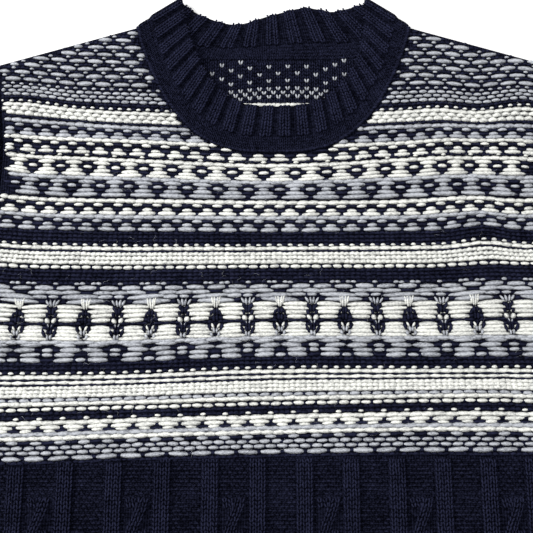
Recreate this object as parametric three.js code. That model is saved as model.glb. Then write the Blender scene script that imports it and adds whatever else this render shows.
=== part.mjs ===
// A fair isle jumper laid flat, face up. Millimetres, +Z up, +Y from the hem to the neck.
// The garment is drawn about the middle of its chest, and the group then sets its box on the origin.

import * as THREE from 'three';

// Cloth: a stranded knit wall, the thicker neck rib, how far apart sewn edges lie,
// and the room for the flats that a curved seam is drawn with
const WALL = 2.8;
const BAND_WALL = 3.0;
const SEAM_GAP = 0.3;
const CHORD_ROOM = 0.35;

// How the layers lie: the room between front and back, and the rounding where they are seamed
const HOLLOW = 2.2;
const EDGE_RADIUS = 9;
const EDGE_LIFT = 1.3;
const EDGE_WALL = 2.0;
const SEAM_RISE = 4;

// Body: levels up the garment and half its width at each
const HEM_SEAM_Y = -355;
const UNDERARM_Y = -25;
const YOKE_FOOT_Y = -144;
const STRETCH_Y = -60;
const STRETCHES = [0, 0.152, 0.24, 0.37, 0.57, 0.78, 0.9, 0.955, 0.985, 1];
const SIDE = [
  { y: -420, half: 241 },
  { y: HEM_SEAM_Y, half: 245 },
  { y: -200, half: 249 },
  { y: -90, half: 250 },
  { y: UNDERARM_Y, half: 250 },
  { y: -5, half: 238 },
  { y: 25, half: 225 },
  { y: 71, half: 218 },
  { y: 120, half: 221 },
  { y: 170, half: 230 },
  { y: 206, half: 240 },
];

// Neck hole and shoulders
const NECK_HALF = 112.8;
const NECK_Y = 205.5;
const FRONT_DROP = 110;
const BACK_DROP = 27.5;
const SHOULDER_SLOPE = THREE.MathUtils.degToRad(16.8);
const FRONT_NECK = { power: 3, left: 0.86, right: 0.86 };
const BACK_NECK = { power: 6, left: 1, right: 1 };

// Neckband: its free edge, the sewn strip beside the seam, and its ribs
const EDGE_HALF = 77.8;
const EDGE_Y = 229;
const EDGE_DROP = 96;
const FRONT_EDGE = { power: 3, left: 0.8, right: 0.5 };
const BACK_EDGE = [
  { x: 77.8, y: 229 },
  { x: 64, y: 224.5 },
  { x: 50, y: 221.5 },
  { x: 27, y: 225 },
  { x: -3, y: 217.5 },
  { x: -33, y: 209.5 },
  { x: -62, y: 218 },
  { x: -77.8, y: 229 },
];
const BAND_RIBS = { front: 21, back: 11 };
const BAND_WAVE = 0.8;
const BAND_CUTS = [
  { step: 0.28, wave: BAND_WAVE },
  { step: 0.42, wave: -BAND_WAVE },
  { step: 0.58, wave: -BAND_WAVE },
  { step: 0.72, wave: BAND_WAVE },
];
const FOLD_ANGLES = [0, 45, 90, 135, 180].map(THREE.MathUtils.degToRad);
const BAND_STRIP = { end: 0.26, ribbed: 0.36 };
const BAND_LEVEL = { frontSeam: 6.4, frontEdge: 7.2, backSeam: 1.5, backEdge: 2.3 };
const BAND_LIP = 1.2;

// Raised ribs of the navy ground, and the cables in every second panel between them
const RIB_START = -12.5;
const RIB_PITCH = 34.8;
const RIB_SPREAD = -0.16;
const RIB_FIRST = -6;
const RIB_LAST = 7;
const RIB = { foot: 6.5, crest: 4, height: 1.8, ramp: 5 };
const CABLE = { top: -170, half: 10, strand: 4.8, reach: 6, height: 2.4, cross: 0.7, turn: 36 };
const CABLE_PANELS = [-5, -3, -1, 1, 3, 5];
const CABLE_ROW = 10;

// Rib at the hem and cuffs: two stitches up, two down
const HEM_FOOT_Y = -415;
const HEM_RIBS = 34;
const CUFF_RIBS = 8;
const CUFF_RIM = 0.075;
const TRIM_RIB = { foot: 0.36, crest: 0.22, height: 1.3 };

// Sleeves, laid out from the underarm
const SLEEVE_TURN = THREE.MathUtils.degToRad(25);
const SLEEVE_WIDTH = 185;
const WRIST_WIDTH = 112;
const SLEEVE_SEAM = 370;
const CUFF_FOOT = 430;
const SLEEVE_PATTERN = 119;
const SLEEVE_RIBS = 5;
const SLEEVE_TOP = 7.8;
const SLEEVE_MIDDLE = 3.9;
const TUBE_TURN = [
  { inset: 1.3, low: 1.3, high: 6.5 },
  { inset: 5, low: 0, high: 7.8 },
];
const TUBE_HOLLOW = { fold: 3.2, floor: 8 };
const TUBE_SHARES = [0.14, 0.22, 0.32, 0.44, 0.57, 0.7, 0.84];
const CAP_EDGE = [
  { x: 300, y: 147 },
  { x: 360, y: 114 },
  { x: 403, y: 75 },
];
const CAP_STATIONS = [
  { down: 0, round: 0 },
  { down: 5, round: 0.3 },
  { down: 14, round: 0.58 },
  { down: 28, round: 0.82 },
  { down: 50, round: 1 },
];
const ARM_STATIONS = [85, SLEEVE_PATTERN, SLEEVE_PATTERN + 5, 180, 240, 300, SLEEVE_SEAM];
const CUFF_STATIONS = [
  { down: SLEEVE_SEAM + SEAM_GAP, width: 110 },
  { down: 377, width: 100 },
  { down: 400, width: 95 },
  { down: CUFF_FOOT, width: 97 },
];

// The largest folds: where each is centred, which way it runs, its reach, and its height
const FOLDS = [
  { x: 192, y: 85, heading: 77, length: 75, width: 15, height: 2.0 },
  { x: -212, y: 60, heading: 92, length: 90, width: 16, height: 1.5 },
  { x: 165, y: 110, heading: 80, length: 60, width: 14, height: -0.9 },
  { x: 5, y: 20, heading: 0, length: 70, width: 30, height: -0.8 },
  { x: -60, y: -90, heading: 8, length: 90, width: 18, height: 0.9 },
  { x: 110, y: -60, heading: 170, length: 80, width: 20, height: 0.8 },
  { x: 330, y: 60, heading: 140, length: 60, width: 16, height: 1.6 },
  { x: 395, y: -90, heading: 155, length: 45, width: 14, height: 1.5 },
  { x: -325, y: 50, heading: 42, length: 60, width: 17, height: 1.6 },
  { x: -400, y: -120, heading: 30, length: 45, width: 14, height: 1.4 },
];

const NAVY = { color: 0x1a1c2e, roughness: 0.95, metalness: 0 };
const YOKE = { color: 0xb9bdc8, roughness: 0.95, metalness: 0 };

const { lerp, smoothstep } = THREE.MathUtils;

// A smooth curve through a table's rows, read as a height over a place
function smoothTable(rows, place, value) {
  const slope = (i) => {
    const before = rows[Math.max(i - 1, 0)];
    const after = rows[Math.min(i + 1, rows.length - 1)];
    return (after[value] - before[value]) / (after[place] - before[place]);
  };
  return (at) => {
    let i = 0;
    while (i < rows.length - 2 && at > rows[i + 1][place]) i += 1;
    const step = rows[i + 1][place] - rows[i][place];
    const t = THREE.MathUtils.clamp((at - rows[i][place]) / step, 0, 1);
    const rise = rows[i + 1][value] - rows[i][value];
    const a = slope(i) * step - rise;
    const b = -slope(i + 1) * step + rise;
    return lerp(rows[i][value], rows[i + 1][value], t) + t * (1 - t) * (a * (1 - t) + b * t);
  };
}

const sideHalf = smoothTable(SIDE, 'y', 'half');

// How far below its corners a neck curve hangs at x, as a share of its drop
function neckHang(shape, x, half) {
  const across = Math.min(Math.abs(x) / half, 1);
  return (1 - across ** shape.power) ** (x < 0 ? shape.left : shape.right);
}

function shoulderLine(x) {
  return NECK_Y - (Math.abs(x) - NECK_HALF) * Math.tan(SHOULDER_SLOPE);
}

// The upper edge of a panel: its neck curve, then the shoulders
function panelTop(shape, drop, x) {
  if (Math.abs(x) >= NECK_HALF) return shoulderLine(x);
  return NECK_Y - drop * neckHang(shape, x, NECK_HALF);
}

// 0 at a seamed edge, rising round a quarter circle to 1
function rounded(distance) {
  const left = 1 - THREE.MathUtils.clamp(distance / EDGE_RADIUS, 0, 1);
  return Math.sqrt(1 - left * left);
}

function insideEdges(x, y) {
  const fromSide = sideHalf(y) - Math.abs(x) + Math.max(0, y - UNDERARM_Y);
  const fromShoulder = (shoulderLine(x) - y) * Math.cos(SHOULDER_SLOPE);
  const fromNeck = Math.max(0, NECK_HALF - Math.abs(x));
  return rounded(Math.min(fromSide, fromShoulder + 2 * fromNeck));
}

function foldHeight(x, y) {
  let height = 0;
  for (const fold of FOLDS) {
    const turn = THREE.MathUtils.degToRad(fold.heading);
    const [dx, dy] = [x - fold.x, y - fold.y];
    const along = (dx * Math.cos(turn) + dy * Math.sin(turn)) / fold.length;
    const across = (dy * Math.cos(turn) - dx * Math.sin(turn)) / fold.width;
    height += fold.height * Math.exp(-along * along - across * across);
  }
  return height;
}

const backUnder = (x, y) => EDGE_LIFT * (1 - insideEdges(x, y));
const backOver = (x, y) => WALL + backUnder(x, y);

function frontUnder(x, y) {
  const inside = insideEdges(x, y);
  return WALL + lerp(EDGE_LIFT + SEAM_GAP, HOLLOW + foldHeight(x, y), inside);
}

const frontSkin = (x, y) => frontUnder(x, y) + lerp(EDGE_WALL, WALL, insideEdges(x, y));

// Middle of the k-th rib, in the garment's own width
const ribMiddle = (k) => RIB_START + RIB_PITCH * k + RIB_SPREAD * k * k;

// A flat-topped ridge, full inside its crest and nothing beyond its foot
function ridge(distance, shape) {
  const away = (Math.abs(distance) - shape.crest) / (shape.foot - shape.crest);
  return shape.height * (1 - THREE.MathUtils.clamp(away, 0, 1));
}

function ribHeight(x, y) {
  let height = 0;
  for (let k = RIB_FIRST; k <= RIB_LAST; k += 1) {
    height = Math.max(height, ridge(x - ribMiddle(k), RIB));
  }
  return height * smoothstep(YOKE_FOOT_Y - y, 0, RIB.ramp);
}

// Two strands that wind round each other, seen from above
function cableHeight(offset, y) {
  if (y > CABLE.top || Math.abs(offset) >= CABLE.half) return 0;
  const phase = ((CABLE.top - y) / CABLE.turn) * Math.PI;
  let height = 0;
  for (const side of [-1, 1]) {
    const middle = side * CABLE.strand * Math.cos(phase);
    const crown = CABLE.height + side * CABLE.cross * Math.sin(phase);
    const away = (offset - middle) / CABLE.reach;
    height = Math.max(height, crown * (1 - away * away));
  }
  return height * smoothstep(CABLE.top - y, 0, CABLE_ROW);
}

const cableMiddle = (k) => (ribMiddle(k) + ribMiddle(k + 1)) / 2;

function frontOver(x, y) {
  let relief = ribHeight(x, y);
  for (const k of CABLE_PANELS) {
    relief = Math.max(relief, cableHeight(x - cableMiddle(k), y));
  }
  return frontSkin(x, y) + relief * insideEdges(x, y);
}

// Points and triangles of one closed body
class Body {
  constructor() {
    this.points = [];
    this.faces = [];
  }

  add(x, y, z) {
    this.points.push(x, y, z);
    return this.points.length / 3 - 1;
  }

  quad(a, b, c, d) {
    this.faces.push(a, b, c, a, c, d);
  }

  // Joins two rows of points that run side by side, by the share of the way along each
  zip(low, lowShares, high, highShares) {
    let [i, j] = [0, 0];
    while (i < low.length - 1 || j < high.length - 1) {
      const lowNext = i < low.length - 1 ? lowShares[i + 1] : Infinity;
      const highNext = j < high.length - 1 ? highShares[j + 1] : Infinity;
      if (lowNext <= highNext) {
        this.faces.push(low[i], low[i + 1], high[j]);
        i += 1;
      } else {
        this.faces.push(low[i], high[j + 1], high[j]);
        j += 1;
      }
    }
  }

  // Lays quads between neighbouring rows, closed round each row where it is a ring
  skin(rows, ring) {
    for (let r = 0; r + 1 < rows.length; r += 1) {
      const count = rows[r].length;
      for (let i = 0; i < (ring ? count : count - 1); i += 1) {
        const next = (i + 1) % count;
        this.quad(rows[r][i], rows[r][next], rows[r + 1][next], rows[r + 1][i]);
      }
    }
  }

  volume() {
    let sum = 0;
    const corner = (i) => new THREE.Vector3().fromArray(this.points, 3 * this.faces[i]);
    for (let f = 0; f < this.faces.length; f += 3) {
      sum += corner(f).dot(corner(f + 1).cross(corner(f + 2)));
    }
    return sum / 6;
  }

  // Mirrored in the garment's middle line
  mirrored() {
    const twin = new Body();
    twin.points = this.points.map((value, i) => (i % 3 === 0 ? -value : value));
    twin.faces = [...this.faces];
    return twin;
  }

  mesh(name, look) {
    if (this.volume() < 0) this.faces.reverse();
    const geometry = new THREE.BufferGeometry();
    geometry.setAttribute('position', new THREE.Float32BufferAttribute(this.points, 3));
    geometry.setIndex(this.faces);
    geometry.computeVertexNormals();
    const mesh = new THREE.Mesh(geometry, new THREE.MeshStandardMaterial(look));
    mesh.name = name;
    return mesh;
  }
}

// A wall between two height fields over one outline, each with its own rows and columns.
// place(column, row) gives the point in plan, and every outline edge is zipped shut.
function panel({ place, over, under, overColumns, overRows, underColumns, underRows }) {
  const body = new Body();
  const lay = (columns, rows, height) =>
    rows.map((row) =>
      columns.map((column) => {
        const { x, y } = place(column, row);
        return body.add(x, y, height(x, y));
      }),
    );
  const top = lay(overColumns, overRows, over);
  const foot = lay(underColumns, underRows, under);
  body.skin(top, false);
  body.skin(foot.map((row) => [...row].reverse()), false);
  const edge = (grid, last) => grid.map((row) => row[last ? row.length - 1 : 0]);
  const reversed = (list) => [...list].reverse();
  const turned = (shares) => reversed(shares).map((share) => -share);
  const overShares = overRows.map((row) => row.share);
  const underShares = underRows.map((row) => row.share);
  body.zip(foot[0], underColumns, top[0], overColumns);
  body.zip(edge(foot, true), underShares, edge(top, true), overShares);
  body.zip(reversed(foot.at(-1)), turned(underColumns), reversed(top.at(-1)), turned(overColumns));
  body.zip(
    reversed(edge(foot, false)),
    turned(underShares),
    reversed(edge(top, false)),
    turned(overShares),
  );
  return body;
}

// Rows at fixed levels, then rows that stretch up to the neck and shoulders
function panelRows(levels) {
  const low = levels.map((y) => ({ y, share: (y - HEM_SEAM_Y) / (STRETCH_Y - HEM_SEAM_Y) }));
  return [...low, ...STRETCHES.map((up) => ({ up, share: 1 + up }))];
}

// Where a column meets a row, its x kept at one share of the half width.
// The upper edge and the half width there depend on each other, so they are settled together.
const SETTLE = { passes: 12, pace: 0.7 };

function panelPlace(shape, drop) {
  return (column, row) => {
    if (row.up === undefined) return { x: column * sideHalf(row.y), y: row.y };
    let crest = NECK_Y;
    for (let pass = 0; pass < SETTLE.passes; pass += 1) {
      crest = lerp(crest, panelTop(shape, drop, column * sideHalf(crest)), SETTLE.pace);
    }
    const y = lerp(STRETCH_Y, crest, row.up);
    return { x: column * sideHalf(y), y };
  };
}

// Columns both sides of the middle, in rising order, with none laid twice
function columnSet(halves) {
  const all = [...halves.map((value) => -value), ...halves].sort((a, b) => a - b);
  return all.filter((value, i) => i === 0 || value - all[i - 1] > Number.EPSILON);
}

const CORNER_COLUMN = NECK_HALF / sideHalf(NECK_Y);
const NECK_STEPS = [0, 0.2, 0.38, 0.52, 0.63, 0.73, 0.81, 0.88, 0.94, 0.98, 1];
const NECK_COLUMNS = NECK_STEPS.map((step) => step * CORNER_COLUMN);
const OUTER_COLUMNS = [0.6, 0.75, 0.88, 0.964, 0.986, 0.996, 1];
const RIM_COLUMNS = OUTER_COLUMNS.slice(3);
const ROOM = { rib: 0.003, neck: 0.02 };
const PLAIN_COLUMNS = columnSet([...NECK_COLUMNS, ...OUTER_COLUMNS]);
const PLAIN_LEVELS = [HEM_SEAM_Y, -250, YOKE_FOOT_Y];
const RELIEF_LEVELS = [CABLE.top, YOKE_FOOT_Y - RIB.ramp, YOKE_FOOT_Y, -105];

// The plain columns, and those at each rib's and cable's foot and crest
function reliefColumns() {
  const chest = sideHalf(STRETCH_Y);
  const marks = [];
  for (let k = RIB_FIRST; k <= RIB_LAST; k += 1) {
    for (const step of [-RIB.foot, -RIB.crest, RIB.crest, RIB.foot]) {
      marks.push((ribMiddle(k) + step) / chest);
    }
  }
  for (const k of CABLE_PANELS) {
    for (const step of [-CABLE.strand, 0, CABLE.strand]) {
      marks.push((cableMiddle(k) + step) / chest);
    }
  }
  const rim = columnSet([...NECK_COLUMNS.slice(-3), ...RIM_COLUMNS]);
  const apart = (list, room) => (mark) => list.every((place) => Math.abs(mark - place) > room);
  const ribs = marks.filter(apart(rim, ROOM.rib));
  const neck = columnSet(NECK_COLUMNS.slice(0, -3)).filter(apart(ribs, ROOM.neck));
  return [...rim, ...ribs, ...neck].sort((a, b) => a - b);
}

function spacedLevels(from, to, step) {
  const count = Math.round((to - from) / step);
  return Array.from({ length: count }, (_, i) => from + (i * (to - from)) / count);
}


function makeFront() {
  return panel({
    place: panelPlace(FRONT_NECK, FRONT_DROP),
    over: frontOver,
    under: frontUnder,
    overColumns: reliefColumns(),
    overRows: panelRows([...spacedLevels(HEM_SEAM_Y, CABLE.top, CABLE_ROW), ...RELIEF_LEVELS]),
    underColumns: PLAIN_COLUMNS,
    underRows: panelRows(PLAIN_LEVELS),
  });
}

function makeBack() {
  return panel({
    place: panelPlace(BACK_NECK, BACK_DROP),
    over: backOver,
    under: backUnder,
    overColumns: PLAIN_COLUMNS,
    overRows: panelRows(PLAIN_LEVELS),
    underColumns: PLAIN_COLUMNS,
    underRows: panelRows(PLAIN_LEVELS),
  });
}

// Ribs side by side across a width, as a share of one pitch from the nearest crest
function trimRelief(across, count) {
  const turns = across * count - 0.5;
  return ridge(turns - Math.round(turns), TRIM_RIB);
}

function trimColumns(count) {
  const marks = [];
  for (let k = 0; k < count; k += 1) {
    for (const step of [-TRIM_RIB.foot, -TRIM_RIB.crest, TRIM_RIB.crest, TRIM_RIB.foot]) {
      marks.push((k + 0.5 + step) / count);
    }
  }
  return marks;
}

function makeHemRib(front) {
  const place = (column, row) => ({ x: column * sideHalf(row.y), y: row.y });
  const seam = HEM_SEAM_Y - SEAM_GAP;
  const rows = [HEM_FOOT_Y, seam - SEAM_RISE, seam].map((y) => ({ y, share: y }));
  const ribs = trimColumns(HEM_RIBS)
    .map((mark) => mark * 2 - 1)
    .filter((mark) => Math.abs(mark) < RIM_COLUMNS[0] - ROOM.rib);
  const relief = (x, y) =>
    trimRelief((x / sideHalf(y) + 1) / 2, HEM_RIBS) * smoothstep(seam - y, 0, SEAM_RISE);
  const over = front
    ? (x, y) => frontSkin(x, y) + relief(x, y) * insideEdges(x, y)
    : backOver;
  return panel({
    place,
    over,
    under: front ? frontUnder : backUnder,
    overColumns: front ? [...columnSet(RIM_COLUMNS), ...ribs].sort((a, b) => a - b) : PLAIN_COLUMNS,
    overRows: rows,
    underColumns: PLAIN_COLUMNS,
    underRows: rows,
  });
}

// A neck curve in plan, from its left end to its right, at one level
const CURVE_STEPS = 12;

function neckCurve(half, top, drop, shape, level) {
  const points = [];
  for (let step = -CURVE_STEPS; step <= CURVE_STEPS; step += 1) {
    const x = half * Math.sin(((step / CURVE_STEPS) * Math.PI) / 2);
    points.push(new THREE.Vector3(x, top - drop * neckHang(shape, x, half), level));
  }
  return new THREE.CatmullRomCurve3(points);
}

// One cut through the neckband, from the seam to the free edge, for a rib or a valley
function bandSection(seam, edge, outward, wave) {
  const start = seam.clone().lerp(edge, (SEAM_GAP + CHORD_ROOM) / seam.distanceTo(edge));
  const at = (share, rise) => {
    const point = start.clone().lerp(edge, share);
    point.z = share > BAND_STRIP.end ? edge.z : seam.z;
    return point.addScaledVector(outward, rise);
  };
  const half = BAND_WALL / 2;
  const lip = edge.clone().addScaledVector(edge.clone().sub(seam).normalize(), BAND_LIP);
  return [
    at(0, half),
    at(BAND_STRIP.end, half),
    at(BAND_STRIP.ribbed, half + wave),
    at(1, half + wave),
    lip.addScaledVector(outward, wave),
    at(1, wave - half),
    at(BAND_STRIP.ribbed, wave - half),
    at(BAND_STRIP.end, -half),
    at(0, -half),
  ];
}

// Rib and valley cuts along one layer of the band, whose two ends are rib crests at the folds
function bandLayer(seamCurve, edgeCurve, ribs, outward) {
  const sections = [];
  for (let k = 0; k < ribs; k += 1) {
    for (const { step, wave } of BAND_CUTS) {
      const share = (k + step) / ribs;
      const seam = seamCurve.getPointAt(share);
      const edge = edgeCurve.getPointAt(share);
      sections.push(bandSection(seam, edge, outward, wave));
    }
  }
  return sections;
}

// The turn from one layer to the other at a side of the neck
function bandFold(side, fromFront) {
  const seam = new THREE.Vector3(side * NECK_HALF, NECK_Y, 0);
  const edge = new THREE.Vector3(side * EDGE_HALF, EDGE_Y, 0);
  const along = edge.clone().sub(seam).normalize();
  const away = new THREE.Vector3(-along.y, along.x, 0).multiplyScalar(-side);
  const level = (front, back) => ({ middle: (front + back) / 2, radius: (front - back) / 2 });
  const ends = [
    { point: seam, ...level(BAND_LEVEL.frontSeam, BAND_LEVEL.backSeam) },
    { point: edge, ...level(BAND_LEVEL.frontEdge, BAND_LEVEL.backEdge) },
  ];
  const angles = fromFront ? FOLD_ANGLES : [...FOLD_ANGLES].reverse();
  return angles.map((angle) => {
    const outward = away.clone().multiplyScalar(Math.sin(angle));
    outward.z = Math.cos(angle);
    const [from, to] = ends.map(({ point, middle, radius }) => {
      const at = point.clone().addScaledVector(outward, radius);
      at.z += middle;
      return at;
    });
    return bandSection(from, to, outward, BAND_WAVE);
  });
}

function makeNeckband() {
  const up = new THREE.Vector3(0, 0, 1);
  const down = new THREE.Vector3(0, 0, -1);
  const frontSeam = neckCurve(NECK_HALF, NECK_Y, FRONT_DROP, FRONT_NECK, BAND_LEVEL.frontSeam);
  const frontEdge = neckCurve(EDGE_HALF, EDGE_Y, EDGE_DROP, FRONT_EDGE, BAND_LEVEL.frontEdge);
  const backSeam = neckCurve(NECK_HALF, NECK_Y, BACK_DROP, BACK_NECK, BAND_LEVEL.backSeam);
  backSeam.points.reverse();
  const backEdge = new THREE.CatmullRomCurve3(
    BACK_EDGE.map(({ x, y }) => new THREE.Vector3(x, y, BAND_LEVEL.backEdge)),
  );
  const sections = [
    ...bandLayer(frontSeam, frontEdge, BAND_RIBS.front, up),
    ...bandFold(1, true),
    ...bandLayer(backSeam, backEdge, BAND_RIBS.back, down),
    ...bandFold(-1, false),
  ];
  const body = new Body();
  const rings = sections.map((section) => section.map(({ x, y, z }) => body.add(x, y, z)));
  body.skin([...rings, rings[0]], true);
  return body;
}

// Directions down a sleeve and across it, for the sleeve on the wearer's +X side
const DOWN = { x: Math.sin(SLEEVE_TURN), y: -Math.cos(SLEEVE_TURN) };
const ACROSS = { x: Math.cos(SLEEVE_TURN), y: Math.sin(SLEEVE_TURN) };
const UNDERARM = { x: sideHalf(UNDERARM_Y), y: UNDERARM_Y };

function sleevePoint(down, across) {
  return {
    x: UNDERARM.x + down * DOWN.x + across * ACROSS.x,
    y: UNDERARM.y + down * DOWN.y + across * ACROSS.y,
  };
}

const sleeveWidth = (down) => lerp(SLEEVE_WIDTH, WRIST_WIDTH, down / SLEEVE_SEAM);
const between = (a, b, t) => ({ x: lerp(a.x, b.x, t), y: lerp(a.y, b.y, t) });

// The armhole, from the underarm up to the shoulder, just outside the body's own flats
const SHOULDER_TIP = panelPlace(BACK_NECK, BACK_DROP)(1, { up: 1 });

function armhole(share) {
  const y = lerp(UNDERARM_Y, SHOULDER_TIP.y, share);
  const level = (y - STRETCH_Y) / (SHOULDER_TIP.y - STRETCH_Y);
  const i = Math.max(1, STRETCHES.findIndex((up) => up >= level - Number.EPSILON));
  const [low, high] = [STRETCHES[i - 1], STRETCHES[i]];
  const half = (up) => sideHalf(lerp(STRETCH_Y, SHOULDER_TIP.y, up));
  const x = lerp(half(low), half(high), (level - low) / (high - low));
  return { x: x + CHORD_ROOM, y };
}

// Cuts across the sleeve: they fan out round the cap, then run square to it.
// Each gives its width, how far down it is, and the point at a share of the way across.
function sleeveStations() {
  const last = CAP_STATIONS.at(-1).down;
  const tip = armhole(1);
  const corner = sleevePoint(last, sleeveWidth(last));
  const outer = new THREE.SplineCurve(
    [tip, ...CAP_EDGE, corner].map(({ x, y }) => new THREE.Vector2(x, y)),
  );
  const cap = CAP_STATIONS.map(({ down, round }) => {
    const low = between(armhole(0), sleevePoint(last, 0), down / last);
    const high = outer.getPointAt(round);
    const bow = (1 - round) ** 2;
    const at = (share) => {
      const straight = between(low, high, share);
      const cut = between(armhole(0), tip, share);
      const hole = armhole(share);
      return { x: straight.x + bow * (hole.x - cut.x), y: straight.y + bow * (hole.y - cut.y) };
    };
    return { down, width: Math.hypot(high.x - low.x, high.y - low.y), at };
  });
  const arm = ARM_STATIONS.map((down) => {
    const width = sleeveWidth(down);
    return { down, width, at: (share) => sleevePoint(down, share * width) };
  });
  return [...cap, ...arm];
}

// The ring of a flattened tube's outside: flat below, rounded at both folds, ribbed on top
function outerRing(width, marks, relief) {
  const seam = { share: 0, z: SLEEVE_MIDDLE };
  const fold = { share: 1, z: SLEEVE_MIDDLE };
  const near = (side) => TUBE_TURN.map((turn) => ({ share: turn.inset / width, z: turn[side] }));
  const far = (side) => near(side).map(({ share, z }) => ({ share: 1 - share, z }));
  const sole = TUBE_SHARES.map((share) => ({ share, z: 0 }));
  const crown = marks.map((mark) => ({ share: mark, z: SLEEVE_TOP + relief(mark), top: true }));
  const below = [seam, ...near('low'), ...sole, ...far('low').reverse()];
  const above = [fold, ...far('high'), ...crown.reverse(), ...near('high').reverse()];
  return [...below, ...above];
}

function innerRing(width) {
  const at = (distance, z) => ({ share: distance / width, z });
  const ceiling = WALL + HOLLOW;
  return [
    at(TUBE_HOLLOW.fold, SLEEVE_MIDDLE),
    at(TUBE_HOLLOW.floor, WALL),
    ...TUBE_SHARES.map((share) => ({ share, z: WALL })),
    at(width - TUBE_HOLLOW.floor, WALL),
    at(width - TUBE_HOLLOW.fold, SLEEVE_MIDDLE),
    at(width - TUBE_HOLLOW.floor, ceiling),
    ...[...TUBE_SHARES].reverse().map((share) => ({ share, z: ceiling, top: true })),
    at(TUBE_HOLLOW.floor, ceiling),
  ];
}

// Shares round a ring, out along the underside and home along the top
function ringShares(ring) {
  const turn = ring.reduce((best, point, i) => (point.share > ring[best].share ? i : best), 0);
  return [...ring.map(({ share }, i) => (i <= turn ? share : 2 - share)), 2];
}

// An open tube through stations, a wall between its outer and inner rings
function tube(stations, marksAt, reliefAt) {
  const body = new Body();
  const lay = (station, ring) =>
    ring.map(({ share, z, top }) => {
      const { x, y } = station.at(share);
      return body.add(x, y, z + (top ? foldHeight(x, y) : 0));
    });
  const outerRings = stations.map((s) => outerRing(s.width, marksAt(s), reliefAt(s)));
  const innerRings = stations.map((s) => innerRing(s.width));
  const outer = stations.map((station, i) => lay(station, outerRings[i]));
  const inner = stations.map((station, i) => lay(station, innerRings[i]));
  body.skin(outer, true);
  body.skin(inner.map((ring) => [...ring].reverse()), true);
  const closed = (ring) => [...ring, ring[0]];
  const end = stations.length - 1;
  body.zip(
    closed(inner[0]),
    ringShares(innerRings[0]),
    closed(outer[0]),
    ringShares(outerRings[0]),
  );
  body.zip(
    closed(outer[end]),
    ringShares(outerRings[end]),
    closed(inner[end]),
    ringShares(innerRings[end]),
  );
  return body;
}

function makeSleeve() {
  const middles = Array.from({ length: SLEEVE_RIBS }, (_, k) => (k + 0.5) / SLEEVE_RIBS);
  const marksAt = ({ width }) =>
    middles.flatMap((middle) =>
      [-RIB.foot, -RIB.crest, RIB.crest, RIB.foot].map((step) => middle + step / width),
    );
  const reliefAt = ({ width, down }) => (share) => {
    const nearest = Math.min(...middles.map((middle) => Math.abs(share - middle)));
    return ridge(nearest * width, RIB) * smoothstep(down - SLEEVE_PATTERN, 0, RIB.ramp);
  };
  return tube(sleeveStations(), marksAt, reliefAt);
}

function makeCuff() {
  const stations = CUFF_STATIONS.map(({ down, width }) => {
    const start = (sleeveWidth(SLEEVE_SEAM) - width) / 2;
    return { down, width, at: (share) => sleevePoint(down, start + share * width) };
  });
  const marks = trimColumns(CUFF_RIBS).filter((mark) => mark > CUFF_RIM && mark < 1 - CUFF_RIM);
  const reliefAt = ({ down }) => (share) =>
    trimRelief(share, CUFF_RIBS) * smoothstep(down - SLEEVE_SEAM, 0, SEAM_RISE);
  return tube(stations, () => marks, reliefAt);
}

const jumper = new THREE.Group();
const sleeve = makeSleeve();
const cuff = makeCuff();
jumper.add(
  makeBack().mesh('back', YOKE),
  makeFront().mesh('front', YOKE),
  makeNeckband().mesh('neckband', NAVY),
  makeHemRib(true).mesh('hem_rib_front', NAVY),
  makeHemRib(false).mesh('hem_rib_back', NAVY),
  sleeve.mesh('sleeve_right', YOKE),
  sleeve.mirrored().mesh('sleeve_left', YOKE),
  cuff.mesh('cuff_right', NAVY),
  cuff.mirrored().mesh('cuff_left', NAVY),
);

// The box's middle stands over the origin, and the underside lies at z = 0
const box = new THREE.Box3().setFromObject(jumper);
const middle = box.getCenter(new THREE.Vector3());
jumper.position.set(-middle.x, -middle.y, -box.min.z);

export default jumper;
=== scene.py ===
"""Looks of a fair isle jumper laid flat, face up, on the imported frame.

Plan sizes are millimetres in the garment's own frame: x across the chest, y up
from its middle to the neck, z up from the surface that the jumper lies on.
"""

import bisect
import logging
import math
import random
from collections.abc import Callable, Iterable, Sequence
from dataclasses import dataclass, field
from enum import Enum
from functools import cached_property

import bpy
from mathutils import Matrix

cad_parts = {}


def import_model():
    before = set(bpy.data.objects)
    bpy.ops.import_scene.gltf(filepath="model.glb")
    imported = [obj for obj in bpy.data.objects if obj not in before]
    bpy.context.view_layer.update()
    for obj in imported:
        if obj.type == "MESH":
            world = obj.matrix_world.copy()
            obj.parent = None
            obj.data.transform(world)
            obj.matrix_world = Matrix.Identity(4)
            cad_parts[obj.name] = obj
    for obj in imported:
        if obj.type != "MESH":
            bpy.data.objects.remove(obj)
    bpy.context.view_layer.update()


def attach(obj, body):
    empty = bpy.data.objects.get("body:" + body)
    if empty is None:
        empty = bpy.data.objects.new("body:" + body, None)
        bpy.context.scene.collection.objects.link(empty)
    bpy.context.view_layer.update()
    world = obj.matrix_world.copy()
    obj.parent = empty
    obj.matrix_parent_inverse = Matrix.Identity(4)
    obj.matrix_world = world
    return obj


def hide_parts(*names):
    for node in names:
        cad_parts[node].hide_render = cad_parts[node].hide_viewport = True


LOG = logging.getLogger("jumper")
MM = 0.001
GARMENT_RISE = 91.0  # how far the chest's middle lies up the frame's y
BODY = "root"

Height = Callable[[float, float], float]


class Yarn(Enum):
    """The yarns that the jumper is knitted from."""

    NAVY = "navy"
    WHITE = "white"
    GREY = "grey"


class Form(Enum):
    """The shapes in which a stitch shows on the face of the cloth."""

    FLOAT = "float"
    PURL = "purl"
    VEE = "vee"
    FIBRE = "fibre"


def lerp(a: float, b: float, t: float) -> float:
    """The value a share t of the way from a to b."""
    return a + (b - a) * t


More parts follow.
